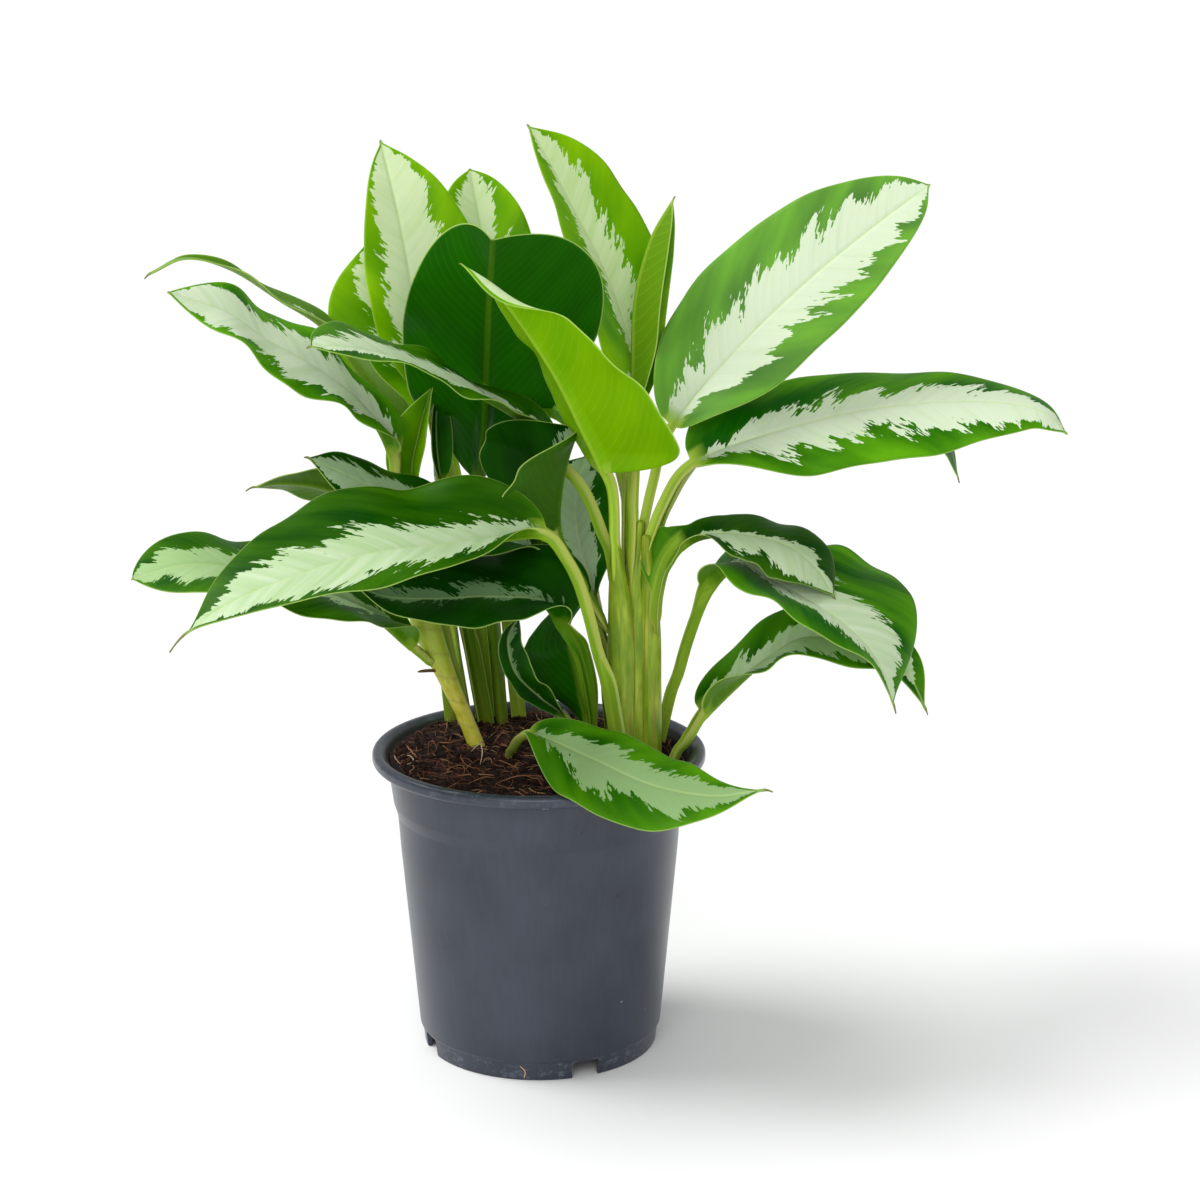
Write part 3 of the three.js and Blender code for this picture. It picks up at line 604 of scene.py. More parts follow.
# %% What a leaf is told
# Pairs are for the left half and the right half, seen from above with the tip away from
# the eye. q is the place along a leaf: -1 at the foot, 0 at the blade's base, 1 at its tip.
DEFAULTS = dict(
    fold=[15, 15],         # degrees by which each half rises from flat
    tip=None,              # the fold at the tip, where it differs
    gutter=48,             # the fold at the blade's base
    curl=-12,              # degrees by which the margin rises more than the midrib's side
    tip_curl=(0, 0),       # more of it in the last third
    twist=0,               # degrees that the blade turns about its line from end to end
    wave=2,                # height of the margin's waves, in millimetres
    shape=[0.72, 0.62],    # powers a and b of the outline, t^a (1 - t)^b
    right_shape=None,      # those of the right half, where they differ
    point=(0.12, 0.45),    # the share of the blade that is drawn in to the tip, and how hard
    drip=3,                # length of the thread-like end, in millimetres
    wing=(0, 0, -0.95, 0.1),  # width of a web on each side, and from which q to which
    turn=0,                # degrees that the stalk is turned about its own line
    stalk=3, sheath=3.4,   # half widths of the stalk, and of the sheath at its foot
    clasp=0.5,             # the share of the stalk's length that is sheath
    # Depth is painted shade that deepens the green of a leaf in shade; below 0 it is a painted
    # grey sheen.
    depth=0, olive=0,      # how deep the green is, and how olive the underside
    silver=(0.3, 0.3),     # how far the silver reaches towards each margin
    late=0.01,             # the q by which the silver has its whole reach
    plain_from=2,          # the q past which there is none
    # Above 0.3 the paleness also paints yellow light on the stalk, and below -0.5 painted shade
    # on the silver.
    paleness_and_light=0)            # how pale the silver is

# %% The 28 leaves
# Each has its kind of finish, the points of its spine in millimetres, the number of the one
# where the blade begins (from 0), the direction that its middle faces, and half widths.
# They stand where the model's do. Some are moved, widened or folded a little.
LEAVES = {
    "right_top": dict(
        kind="leaf", base=3, face=[-0.2, -0.88, 0.42], half=[46, 34], fold=[4, 10], gutter=34,
        curl=-10, shape=[0.56, 0.62], right_shape=[0.54, 0.62], point=(0.04, 0.36), drip=1,
        depth=-0.22, silver=(0.42, 0.5), paleness_and_light=0.6,
        spine=[(57, 10, 262), (58, 10, 290), (65, 13, 326), (76, 18, 358), (115, 30, 402),
               (155, 42, 438), (191, 50, 466), (222, 56, 488)]),
    "right_long": dict(
        kind="leaf", base=3, face=[0, -0.58, 0.8], half=[40, 35], fold=[-6, -6], gutter=30,
        curl=-15, twist=-25, shape=[0.5, 0.7], right_shape=[0.72, 0.7], point=(0.04, 0.4),
        drip=1, depth=0.05, silver=(0.36, 0.5), paleness_and_light=0.6,
        spine=[(60, 3, 262), (61, 3, 288), (70, 6, 315), (87, 10, 338), (131, 20, 353),
               (185, 26, 365), (239, 24, 370), (280, 18, 367), (297, 12, 354)]),
    "right_behind": dict(
        kind="leaf", base=3, face=[0, -0.3, 0.95], half=[31, 31], fold=[5, 5], curl=-20,
        depth=0.3, silver=(0, 0),
        spine=[(65, 10, 262), (67, 14, 292), (84, 38, 326), (116, 68, 350), (166, 90, 361),
               (212, 98, 355), (242, 98, 334), (250, 96, 312)]),
    "centre_forward": dict(
        kind="young_leaf", base=3, face=[0.45, 0.55, 0.7], half=[52, 23], fold=[12, 30],
        gutter=14, curl=-10, tip_curl=(-110, 0), shape=[0.23, 0.85], right_shape=[0.3, 0.48],
        point=(0.06, 0.4), drip=2, silver=(0.9, 0.9), paleness_and_light=0.2,
        spine=[(44, -3, 262), (43, -5, 290), (42, -10, 324), (37, -21, 342), (24, -40, 370),
               (9, -58, 401), (-10, -76, 432), (-24, -87, 451), (-38, -94, 463)]),
    "centre_tall": dict(
        kind="young_leaf", base=2, face=[0.6, -0.8, 0.15], half=[32, 36], fold=[30, 12],
        gutter=20, curl=-5, shape=[0.3, 0.72], right_shape=[1, 0.72], point=(0.08, 0.4), drip=2,
        silver=(0.24, 0.36), paleness_and_light=0.2,
        spine=[(50, 12, 262), (50, 20, 310), (58, 44, 371), (50, 54, 409), (38, 60, 442),
               (21, 66, 475), (8, 70, 500), (-4, 74, 520)]),
    "rolled_spike": dict(
        kind="young_leaf", base=2, face=[0.9, -0.3, 0.2], half=[17, 17], fold=[70, 70], curl=0,
        wave=0, depth=0.5, olive=0.4, silver=(0, 0),
        spine=[(52, 2, 264), (54, 8, 310), (57, 28, 370), (56, 40, 421), (64, 47, 457),
               (77, 50, 481)]),
    "right_small": dict(
        kind="leaf", base=3, face=[0.2, -0.35, 0.9], half=[28, 30], fold=[2, 2], curl=-15,
        shape=[1.1, 0.6], point=(0.2, 0.5), wing=(13, 4, -0.6, -0.05), sheath=5, clasp=0.8,
        depth=0.9, olive=0.3, silver=(0.12, 0.62), late=0.2,
        spine=[(67, -1, 242), (68, -3, 264), (73, 0, 283), (81, 3, 293), (94, 7, 298),
               (117, 10, 297), (141, 6, 291), (157, 0, 279), (166, -6, 265)]),
    "right_low": dict(
        kind="leaf", base=3, face=[0.35, -0.45, 0.8], half=[70, 35], fold=[5, 22], gutter=25,
        curl=-15, wave=3, shape=[1, 0.85], right_shape=[1, 1.3], point=(0.2, 0.5), drip=4,
        wing=(6, 12, -0.2, 0), sheath=4.5, depth=0.1, olive=0.2, silver=(0.34, 0.3), late=0.4,
        paleness_and_light=0.2,
        spine=[(69, 34, 159), (76, 34, 192), (86, 31, 233), (98, 26, 264), (114, 16, 279),
               (130, 3, 273), (151, -11, 264), (172, -25, 252), (188, -34, 235),
               (197, -40, 211)]),
    "right_lowest": dict(
        kind="leaf", base=3, face=[-0.2, -0.45, 0.85], half=[21, 26], fold=[25, 25], curl=-10,
        twist=40, shape=[0.5, 0.75], right_shape=[0.55, 1], point=(0.12, 0.4), depth=0.4,
        olive=0.4, silver=(0.5, 0.75), plain_from=0.8,
        spine=[(74, 0, 159), (79, 2, 171), (87, 7, 183), (94, 12, 192), (113, 20, 207),
               (132, 22, 222), (153, 17, 235), (180, 9, 232), (206, 2, 223), (220, -4, 198)]),
    "left_big": dict(
        kind="leaf", base=5, face=[-0.1, -0.33, 0.94], half=[41, 57], fold=[14, 14],
        shape=[1.35, 1.15], right_shape=[0.72, 1], point=(0.1, 0.3), drip=11, sheath=7,
        depth=0.85, silver=(0.68, 0.32),
        spine=[(47, -12, 160), (41, -14, 198), (34, -20, 238), (25, -28, 275), (16, -36, 296),
               (4, -44, 311), (-20, -57, 312), (-52, -77, 312), (-88, -97, 312),
               (-128, -115, 304), (-160, -125, 292), (-181, -129, 278)]),
    "left_under": dict(
        kind="dark_leaf", base=3, face=[0, -0.35, 0.93], half=[31, 40], fold=[12, 12], curl=-15,
        wave=1.5, right_shape=[0.3, 0.6], wing=(4, 38, -0.8, -0.1), turn=80, depth=1,
        silver=(0.04, 0.18), paleness_and_light=-0.9,
        spine=[(31, -4, 160), (29, -5, 198), (23, -8, 231), (14, -14, 252), (3, -19, 266),
               (-27, -28, 271), (-59, -40, 273), (-83, -50, 277), (-100, -58, 286)]),
    "small_dark": dict(
        kind="dark_leaf", base=2, face=[-0.6, -0.5, 0.6], half=[6, 15], fold=[35, 35],
        depth=0.8, olive=0.2, silver=(0, 0.12), paleness_and_light=-0.8,
        spine=[(25, 8, 159), (22, 7, 177), (13, 4, 194), (1, 0, 205), (-13, -4, 221),
               (-17, -4, 240), (-11, 0, 252)]),
    "over_rim": dict(
        kind="leaf", base=2, face=[0.1, -0.6, 0.8], half=[25, 32], fold=[5, 5], curl=-15,
        shape=[0.8, 0.8], point=(0.3, 0.55), drip=5, stalk=2.2, sheath=2.4, depth=0.3,
        silver=(0.42, 0.46), paleness_and_light=-0.75,
        spine=[(-17, 8, 160), (-16, -10, 177), (-5, -44, 197), (28, -74, 192), (59, -96, 184),
               (91, -108, 181), (119, -114, 186)]),
    "funnel": dict(
        kind="dark_leaf", base=3, face=[-0.8, -0.6, 0.2], half=[50, 44], fold=[15, 65],
        tip=[20, 38], curl=45, shape=[0.8, 0.7], depth=0.9, olive=0.35, silver=(0.16, 0.12),
        paleness_and_light=-0.3,
        spine=[(42, 3, 238), (29, 3, 262), (15, 1, 286), (9, 0, 303), (12, -7, 325),
               (17, -14, 346), (23, -19, 364)]),
    "left_narrow": dict(
        kind="leaf", base=3, face=[0.2, -0.2, 0.95], half=[20, 37], fold=[10, 10], curl=-15,
        wave=3, shape=[0.72, 0.5], point=(0.05, 0.4), depth=0.6, silver=(0.45, 0.35),
        paleness_and_light=0.2,
        spine=[(44, 4, 255), (40, 4, 290), (27, 8, 324), (11, 11, 342), (-5, 7, 363),
               (-36, -24, 386), (-67, -54, 406), (-96, -80, 418), (-116, -94, 421)]),
    "centre_back": dict(
        kind="dark_leaf", base=2, face=[-0.5, -0.85, 0.2], half=[30, 30], fold=[20, 20],
        depth=0.4, silver=(0.4, 0.45), paleness_and_light=0.3,
        spine=[(43, 31, 159), (38, 36, 215), (33, 42, 254), (26, 46, 276), (22, 50, 298),
               (23, 56, 316), (28, 62, 332)]),
    "centre_hidden": dict(
        kind="young_leaf", base=2, face=[0.3, -0.5, 0.8], half=[24, 24], depth=0.3,
        spine=[(54, 20, 262), (51, 30, 312), (41, 42, 343), (20, 57, 361), (0, 72, 376),
               (-14, 83, 385)]),
    "left_middle": dict(
        kind="dark_leaf", base=3, face=[0.1, -0.45, 0.88], half=[28, 28], fold=[0, 0], curl=-10,
        depth=0.8, silver=(0.45, 0.45), paleness_and_light=0.2,
        spine=[(46, 13, 205), (34, 18, 242), (20, 20, 270), (2, 15, 285), (-27, 8, 299),
               (-60, -3, 314), (-92, -18, 332), (-124, -35, 351)]),
    "back_left_tall": dict(
        kind="young_leaf", base=2, face=[0.25, -0.9, 0.3], half=[25, 42], fold=[12, 12],
        curl=-5, shape=[0.72, 0.85], point=(0.06, 0.38), drip=1, stalk=5, sheath=8,
        silver=(0.6, 0.5), paleness_and_light=0.5,
        spine=[(-32, 70, 159), (-42, 69, 269), (-62, 64, 365), (-69, 64, 411), (-74, 70, 445),
               (-80, 80, 475), (-89, 96, 510)]),
    "back_tall": dict(
        kind="young_leaf", base=2, face=[0.1, -0.9, 0.35], half=[31, 31], fold=[18, 18],
        curl=-5, point=(0.04, 0.35), drip=0.6, stalk=4.5, sheath=6, silver=(0.4, 0.3),
        paleness_and_light=0.5,
        spine=[(-11, 70, 159), (-21, 82, 264), (-28, 100, 359), (-28, 112, 410),
               (-32, 124, 452), (-39, 138, 490)]),
    "back_left": dict(
        kind="young_leaf", base=2, face=[-0.1, -0.8, 0.55], half=[40, 40], stalk=4.5, sheath=6,
        depth=0.2, silver=(0.3, 0.5), paleness_and_light=0.5,
        spine=[(-23, 73, 159), (-39, 78, 266), (-56, 82, 351), (-67, 88, 380), (-81, 95, 408),
               (-91, 104, 433), (-99, 112, 450)]),
    "centre_broad": dict(
        kind="dark_leaf", base=2, face=[0, 0.9, 0.45], half=[64, 47], tip=[22, 55], curl=-8,
        shape=[0.85, 0.5], right_shape=[0.5, 0.5], point=(0.02, 0.1), drip=1, stalk=4, sheath=5,
        silver=(0.5, 0.5),
        spine=[(-21, 61, 159), (-27, 60, 247), (-33, 50, 322), (-30, 36, 358), (-28, 16, 396),
               (-26, -12, 431), (-24, -36, 455), (-23, -56, 471)]),
    "left_high": dict(
        kind="leaf", base=2, face=[0, -0.5, 0.86], half=[26, 26], fold=[8, 8], wave=4,
        shape=[0.72, 0.55], point=(0.12, 0.35), drip=1, silver=(0.66, 0.62), paleness_and_light=0.4,
        spine=[(-71, 24, 250), (-80, 24, 300), (-80, 22, 342), (-98, 5, 375), (-125, -10, 399),
               (-146, -19, 413), (-166, -27, 429), (-196, -35, 441)]),
    "left_edge_on": dict(
        kind="leaf", base=2, face=[0.3, 0.02, 0.93], half=[17, 17], fold=[20, 20], twist=-25,
        shape=[0.5, 1.5], drip=4, olive=0.8, plain_from=0.5, paleness_and_light=0.3,
        spine=[(-51, 58, 159), (-63, 62, 271), (-79, 58, 343), (-97, 50, 379), (-119, 43, 410),
               (-143, 36, 427), (-169, 28, 445), (-193, 17, 453), (-211, 6, 446)]),
    "left_rolled": dict(
        kind="young_leaf", base=2, face=[-0.3, -0.9, 0.3], half=[18, 15], fold=[55, 55], wave=0,
        point=(0.5, 0.5), stalk=5, sheath=8, depth=0.2, silver=(0, 0), paleness_and_light=0.5,
        spine=[(-41, 62, 159), (-55, 53, 250), (-71, 40, 317), (-67, 38, 351), (-59, 34, 378)]),
    "left_rolled_dark": dict(
        kind="dark_leaf", base=2, face=[0.5, -0.8, 0.3], half=[9, 9], fold=[50, 50], wave=0,
        stalk=4, sheath=7, depth=0.5, olive=0.1, silver=(0, 0),
        spine=[(-31, 58, 159), (-45, 55, 247), (-56, 49, 323), (-58, 47, 350), (-57, 46, 374)]),
    "left_thin": dict(
        kind="leaf", base=2, face=[-0.1, 0.6, 0.8], half=[17, 17], fold=[12, 12], drip=5,
        sheath=5.5, depth=0.9, olive=0.6,
        spine=[(-43, 50, 159), (-53, 47, 226), (-66, 45, 271), (-92, 40, 302), (-118, 27, 320),
               (-142, 12, 327), (-158, 3, 327)]),
    "left_low": dict(
        kind="leaf", base=2, face=[0, -0.35, 0.94], half=[46, 32], fold=[12, 12], wave=3,
        shape=[0.72, 0.5], point=(0.06, 0.2), drip=1, stalk=2.4, sheath=1.6, depth=0.6,
        silver=(0.4, 0.36), paleness_and_light=-0.5,
        spine=[(-54, 20, 211), (-60, 17, 221), (-71, 11, 233), (-94, -5, 257), (-121, -22, 274),
               (-151, -42, 289), (-187, -60, 298), (-216, -72, 293)]),
}

# %% Lines
# A blade has a row of points about every 1.35 mm, a stalk 26 rows and a drip tip 8. The
# direction that a blade faces is told where q is 0.45.
ROW_MM, STALK_ROWS, DRIP_ROWS, MIDDLE = 1.35, 26, 8, 0.45


def spline(points, base, blade_rows):
    """Between points B and C, with neighbours A and D, the line is the cubic with slopes
    (C - A)/2 and (D - B)/2. It is then cut into equal lengths before and after the base.
    Returns q and the point of each row, its distance from the base, the blade's length."""
    p = np.array(points, float)
    p = np.concatenate([[2 * p[0] - p[1]], p, [2 * p[-1] - p[-2]]])
    fine = 60
    t = np.linspace(0, 1, fine, endpoint=False)[None, :, None]
    a, b, c, d = (p[k:len(p) - 3 + k, None] for k in range(4))
    m, n = (c - a) / 2, (d - b) / 2
    line = (2 * b - 2 * c + m + n) * t ** 3 + (3 * c - 3 * b - 2 * m - n) * t ** 2 + m * t + b
    line = np.concatenate([line.reshape(-1, 3), p[-2:-1]])
    run = np.concatenate([[0], np.cumsum(np.linalg.norm(np.diff(line, axis=0), axis=1))])
    split = run[base * fine]
    at, q = (np.concatenate([np.linspace(foot, start, STALK_ROWS, endpoint=False),
                             np.linspace(start, end, blade_rows + 1)])
             for foot, start, end in ((0, split, run[-1]), (-1, 0, 1)))
    centre = np.stack([np.interp(at, run, line[:, k]) for k in range(3)], axis=-1)
    return q, centre, at - split, run[-1] - split


def carried(centre, q, face, twist):
    """The upward normal is set at the blade's middle and slides along the line without
    turning, each time made square to it again. Then it is turned by twist times its
    distance from the middle. Returns that normal and the direction to the right."""
    along = np.gradient(centre, axis=0)
    along /= np.linalg.norm(along, axis=1, keepdims=True)
    # On the blade the direction is evened out, so that its margins have no corners.
    even = along.copy()
    for _ in range(60):
        even[1:-1] = (even[:-2] + 2 * even[1:-1] + even[2:]) / 4
    along = along + (even - along) * smooth(q / 0.15)[:, None]
    along /= np.linalg.norm(along, axis=1, keepdims=True)
    middle = int(np.argmax(q >= MIDDLE))
    up = np.zeros_like(centre)
    up[middle] = face
    order = [(middle, middle)]
    order += [(k - 1, k) for k in range(middle + 1, len(q))]
    order += [(k + 1, k) for k in range(middle - 1, -1, -1)]
    for before, k in order:
        flat = up[before] - along[k] * (up[before] @ along[k])
        up[k] = flat / np.linalg.norm(flat)
    side = np.cross(along, up)
    turn = -np.radians(twist) * (np.maximum(q, 0) - MIDDLE)[:, None]
    up = up * np.cos(turn) - side * np.sin(turn)
    return up, np.cross(along, up)


def leaf_line(leaf):
    """The spine as a smooth line with its thread-like end, which runs on from the tip and
    droops with the square of its length; and the two directions square to it."""
    length = sum(np.linalg.norm(np.diff(np.array(leaf["spine"]), axis=0), axis=1))
    rows = int(np.clip(length / ROW_MM, 70, 190))
    q, centre, mm, blade_mm = spline(leaf["spine"], leaf["base"], rows)
    beyond = np.linspace(0, 1, DRIP_ROWS + 1)[1:]
    ahead = centre[-1] - centre[-2]
    ahead /= np.linalg.norm(ahead)
    thread = centre[-1] + leaf["drip"] * (beyond[:, None] * ahead
                                          - 0.35 * beyond[:, None] ** 2 * (0, 0, 1))
    centre = np.concatenate([centre, thread])
    q = np.concatenate([q, 1 + beyond * leaf["drip"] / blade_mm])
    mm = np.concatenate([mm, blade_mm + beyond * leaf["drip"]])
    up, side = carried(centre, q, leaf["face"], leaf["twist"])
    # A stalk that shows its broad side is turned about its own line, below the blade.
    turn = np.radians(leaf["turn"]) * smooth(-q / 0.25)[:, None]
    up, side = (up * np.cos(turn) + side * np.sin(turn),
                side * np.cos(turn) - up * np.sin(turn))
    return q, centre, mm, blade_mm, up, side


# %% Widths and folds
def of_half(right, pair):
    """The second of a pair on the right half, and the first on the left."""
    return np.where(right, pair[1], pair[0])


def half_width(leaf, q, right, clasping, foot, blade_mm):
    """On the blade it is t^a (1-t)^b, made 1 where it is widest, times the half width. Near
    the tip it is multiplied by (n / (1 + n^4)^(1/4))^power, where n is the way left to the
    tip over the length that is drawn in. On the stalk it goes from stalk to sheath."""
    t = np.clip(q, 0, 1)
    shapes = zip(leaf["shape"], leaf["right_shape"] or leaf["shape"])
    rise, fall = (of_half(right, pair) for pair in shapes)
    widest = rise / (rise + fall)
    swell = t ** rise * (1 - t) ** fall / (widest ** rise * (1 - widest) ** fall)
    width = np.where(q < 0, leaf["stalk"] + (leaf["sheath"] - leaf["stalk"]) * clasping,
                     leaf["stalk"] * (1 - t) ** 2 + of_half(right, leaf["half"]) * swell)
    start, power = leaf["point"]
    near = (1 - t) / start
    width = width * (near / (1 + near ** 4) ** 0.25) ** power
    first, last = leaf["wing"][2:]
    web = smooth((q - first) / 0.4) * (1 - smooth((q - last) / 0.15))
    width = (width + of_half(right, leaf["wing"]) * web) * (0.2 + 0.8 * foot)
    end = np.clip((q - 1) * blade_mm / leaf["drip"], 0, 1)
    return np.maximum(width, np.maximum(0.25, 0.9 * (1 - end)))


def fold_and_curl(leaf, q, right, clasping, width):
    """In degrees: how far a half rises from flat at the midrib, and how much more at the
    margin. On the stalk they make a channel, and in a narrow place neither is steep."""
    t = np.clip(q, 0, 1)
    channel = smooth(-q / 0.12)
    rest, deep = of_half(right, leaf["fold"]), leaf["gutter"]
    fold = np.where(q < 0, deep + (20 + 15 * clasping - deep) * channel,
                    deep + (rest - deep) * smooth(t / 0.3))
    if leaf["tip"]:
        fold = fold + (of_half(right, leaf["tip"]) - rest) * smooth((t - 0.7) / 0.3)
    steepest = np.degrees(np.arctan(width))
    fold = np.minimum(fold, steepest)
    curl = np.where(q < 0, 20 * channel, leaf["curl"] * smooth(t / 0.3))
    curl = np.minimum(curl, steepest - fold)
    return fold, curl + of_half(right, leaf["tip_curl"]) * smooth((t - 0.68) / 0.27)


def ripple(leaf, t, x, right, index):
    """Two waves along the margin: one slow, as x squared, and a finer one, as x^4, whose
    phase differs from leaf to leaf. Both die out at the base and the tip."""
    slow = leaf["wave"] * np.sin(5 * np.pi * t + of_half(right, (2.6, 0.9))) * x ** 2
    own = np.sin(2 * np.pi * 5.3 * t + 1.7 * index + of_half(right, (2.1, 0)))
    return (slow + 0.3 * leaf["wave"] * own * x ** 4) * np.sin(np.pi * t)


# %% The sheet
# Its margin is 0.5 mm thick. A stalk whose foot is above 200 mm grows from another stem.
EDGE_MM, STEM_FOOT = 0.5, 200


def blade(leaf, index):
    """A point lies x (from 0 at the midrib to 1 at the margin) times the width away from
    the line, along a direction that rises by fold + curl x / 2 degrees. The upper skin is
    half the edge thickness above it; the lower skin is as far below, and further under
    the midrib by the keel."""
    q, centre, mm, blade_mm, up, side = leaf_line(leaf)
    # The points of a row lie closer together near the midrib.
    count = int(np.clip(max(leaf["half"]) * 0.5, 12, 24))
    s = np.linspace(-1, 1, 2 * count + 1)
    s = np.sign(s) * np.abs(s) ** 1.35
    x, sign, right = np.abs(s)[None], np.sign(s)[None], (s > 0)[None]
    q, mm = q[:, None], mm[:, None]
    t, stalky = np.clip(q, 0, 1), q < 0
    clasping = smooth((leaf["clasp"] - 1 - q) / 0.15)
    # A stalk on another stem tapers to its foot, which lies against that stem.
    foot = smooth((q + 1) / 0.22) if leaf["spine"][0][2] > STEM_FOOT else 1.0
    width = half_width(leaf, q, right, clasping, foot, blade_mm)
    fold, curl = fold_and_curl(leaf, q, right, clasping, width)
    lean = np.radians(fold + curl * x / 2)
    tilt = np.where(x > 0, np.radians(fold + curl * x), 0)
    across = width * x
    out = sign * across * np.cos(lean)
    rise = across * np.sin(lean) + ripple(leaf, t, x, right, index)
    # Side veins run forwards from the midrib. They and the midrib are pressed in.
    vein = mm - (0.75 * across + 0.012 * across ** 2)
    on_blade = smooth(t / 0.06) * smooth((1 - t) / 0.1)
    grooves = np.cos(2 * np.pi * vein / VEIN_GAP) ** 8 * smooth(across / 4)
    relief = -(0.05 * grooves + 0.4 * np.exp(-(across / 1.1) ** 2)) * on_blade
    # The keel is round on a stalk, and a ridge under the blade.
    thick = np.where(stalky, 1.5 * leaf["stalk"] * (1 - 0.35 * clasping),
                     0.25 + 1.5 * leaf["stalk"] * (1 - t) ** 2.2)
    web = max(leaf["wing"][:2])
    rounded_keel = np.sqrt(np.maximum(0, 1 - np.minimum(1, x * (1 + web / 6)) ** 2))
    ridge = np.maximum(0, 1 - (across / (1.5 * leaf["stalk"])) ** 2)
    keel = thick * foot * (rounded_keel + (ridge - rounded_keel) * smooth(t / 0.08))

    def skin(offset, drop):
        """The sheet moved by offset along its own normal and lowered by drop."""
        a = out - sign * np.sin(tilt) * offset
        b = rise + np.cos(tilt) * offset - drop
        return centre[:, None] + side[:, None] * a[..., None] + up[:, None] * b[..., None]

    upper = skin(EDGE_MM / 2 + relief, 0)
    lower = skin(-EDGE_MM / 2 + 0.5 * relief, keel)
    ring = np.concatenate([upper, lower[:, ::-1]], axis=1)
    rows, n = ring.shape[:2]
    faces = ring_quads(rows, n).tolist()
    # Each end is closed by quads between the upper skin and the lower.
    half_n = n // 2
    for j in range(half_n - 1):
        a, b, c, d = j, j + 1, n - 2 - j, n - 1 - j
        faces.append([a, d, c, b])
        faces.append([(rows - 1) * n + k for k in (a, b, c, d)])

    def both(upper_value, lower_value=None):
        """The same numbers for the upper skin and, in reverse order, the lower."""
        first = np.broadcast_to(upper_value, (rows, half_n))
        second = first if lower_value is None else np.broadcast_to(lower_value, first.shape)
        return np.concatenate([first, second[:, ::-1]], axis=1).ravel()

    facts = {
        "leaf_place": np.stack([both(s[None]), both(q), both(1.0, 0.0)], axis=-1),
        "leaf_mm": np.stack([both(vein), both(sign * across),
                             both(7.3 * index + 0.9 * right)], axis=-1),
        "leaf_edge": both(width * (1 - x)),
    }
    return ring, faces, facts


# %% Build them
total = 0
for index, (name, row) in enumerate(LEAVES.items()):
    leaf = {**DEFAULTS, **row}
    ring, faces, facts = blade(leaf, index)
    piece = new_piece("blade_" + name, ring, faces, finish[leaf["kind"]])
    for fact, values in facts.items():
        give(piece, fact, values)
    share, q = facts["leaf_place"][:, 0], facts["leaf_place"][:, 1]
    # From one half to the other the silver's reach changes smoothly.
    left, right = leaf["silver"]
    reach = (left + (right - left) * smooth(share / 0.2 + 0.5))
    reach = reach * (1 - smooth((q - leaf["plain_from"]) / 0.12))
    reach = reach * (0.3 + 0.7 * smooth(q / leaf["late"]))
    even = np.ones_like(reach)
    give(piece, "leaf_tone_and_shade", np.stack([leaf["depth"] * even, reach,
                                       leaf["paleness_and_light"] * even], -1))
    give(piece, "leaf_olive", leaf["olive"] * even)
    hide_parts("leaf_" + name)
    total += 2 * len(piece.data.polygons)
print(len(LEAVES), "leaves", total, "triangles")

# %% [markdown]
# ## Stems
# The thick group of stems right of the middle is a bundle of old leaf bases. Each base
# wraps the next, and its thin edge dries to an orange-brown line. The short cane at the
# left has lost its leaves and shows the ring scars that they left. Both are swept tubes:
# an oval section follows a short line and is pressed in or out by a formula.

# %% Stem finishes
def stem_facts(tree, marks):
    """What a stem's skin reads: the place on it and the height above its foot, both in
    millimetres, how dry it is there, and a grain drawn out along the stem."""
    place = add(tree, "Attribute", out=1, attribute_name="stem_place")
    dry = add(tree, "Attribute", out=2, attribute_name="stem_dry")
    grain = add(tree, "VectorMath", place, marks, operation="MULTIPLY")
    grain = add(tree, "TexNoise", {"Vector": grain, "Scale": 1.0, "Detail": 4.0})
    return place, add(tree, "SeparateXYZ", place, out=1), dry, grain


sheath_skin, tree, shader = new_material("lapped_leaf_sheaths")
place, above_foot, dry, grain = stem_facts(tree, (0.55, 0.05, 3.0))
blots = add(tree, "VectorMath", place, (0.12, 0.03, 5.0), operation="MULTIPLY")
blots = add(tree, "TexNoise", {"Vector": blots, "Scale": 1.0, "Detail": 3.0})
colour = add(tree, "ValToRGB", blots, stops=[(0.30, "#5c8008"), (0.5, "#84a01c"),
                                             (0.68, "#aab838")])
# Streaks, dry ragged edges and, in the lowest 18 mm, a foot that is browner.
ragged = add(tree, "MapRange", grain, 0.35, 0.7, -0.35, 0.25)
dry = add(tree, "Math", dry, ragged, operation="ADD")
colour = coated(tree, colour, (grain, 0.46, 0.72, 0.0, 0.6, "#547408"),
                (dry, 0.45, 1.0, 0.0, 0.8, "#9a7432"),
                (above_foot, 18.0, 4.0, 0.0, 0.5, "#7d6a2c"))
bump = add(tree, "Bump", {"Height": grain, "Strength": 0.35, "Distance": 0.0008})
fit(tree, shader, {"Base Color": colour, "Normal": bump, "Roughness": 0.46,
                   "Specular IOR Level": 0.35, "Subsurface Weight": 0.12,
                   "Subsurface Scale": 0.002})

cane_skin, tree, shader = new_material("ringed_cane_skin")
_, above_foot, dry, grain = stem_facts(tree, (0.3, 0.16, 2.0))
colour = add(tree, "ValToRGB", grain, stops=[(0.3, "#b0ad20"), (0.5, "#c8c236"),
                                             (0.7, "#d6cf60")])
# Between 38 and 62 mm above its foot the yellow skin turns green. The scars are dry.
colour = coated(tree, colour, (above_foot, 38.0, 62.0, 0.0, 0.85, "#9cb622"),
                (dry, "#7d6428"))
bump = add(tree, "Bump", {"Height": grain, "Strength": 0.3, "Distance": 0.0006})
fit(tree, shader, {"Base Color": colour, "Normal": bump, "Roughness": 0.45,
                   "Subsurface Weight": 0.12, "Subsurface Scale": 0.002})
print("materials", sheath_skin.name, cane_skin.name)

# %% A stem from rows of x, y, z, half width, half depth
STEM_RINGS = 90
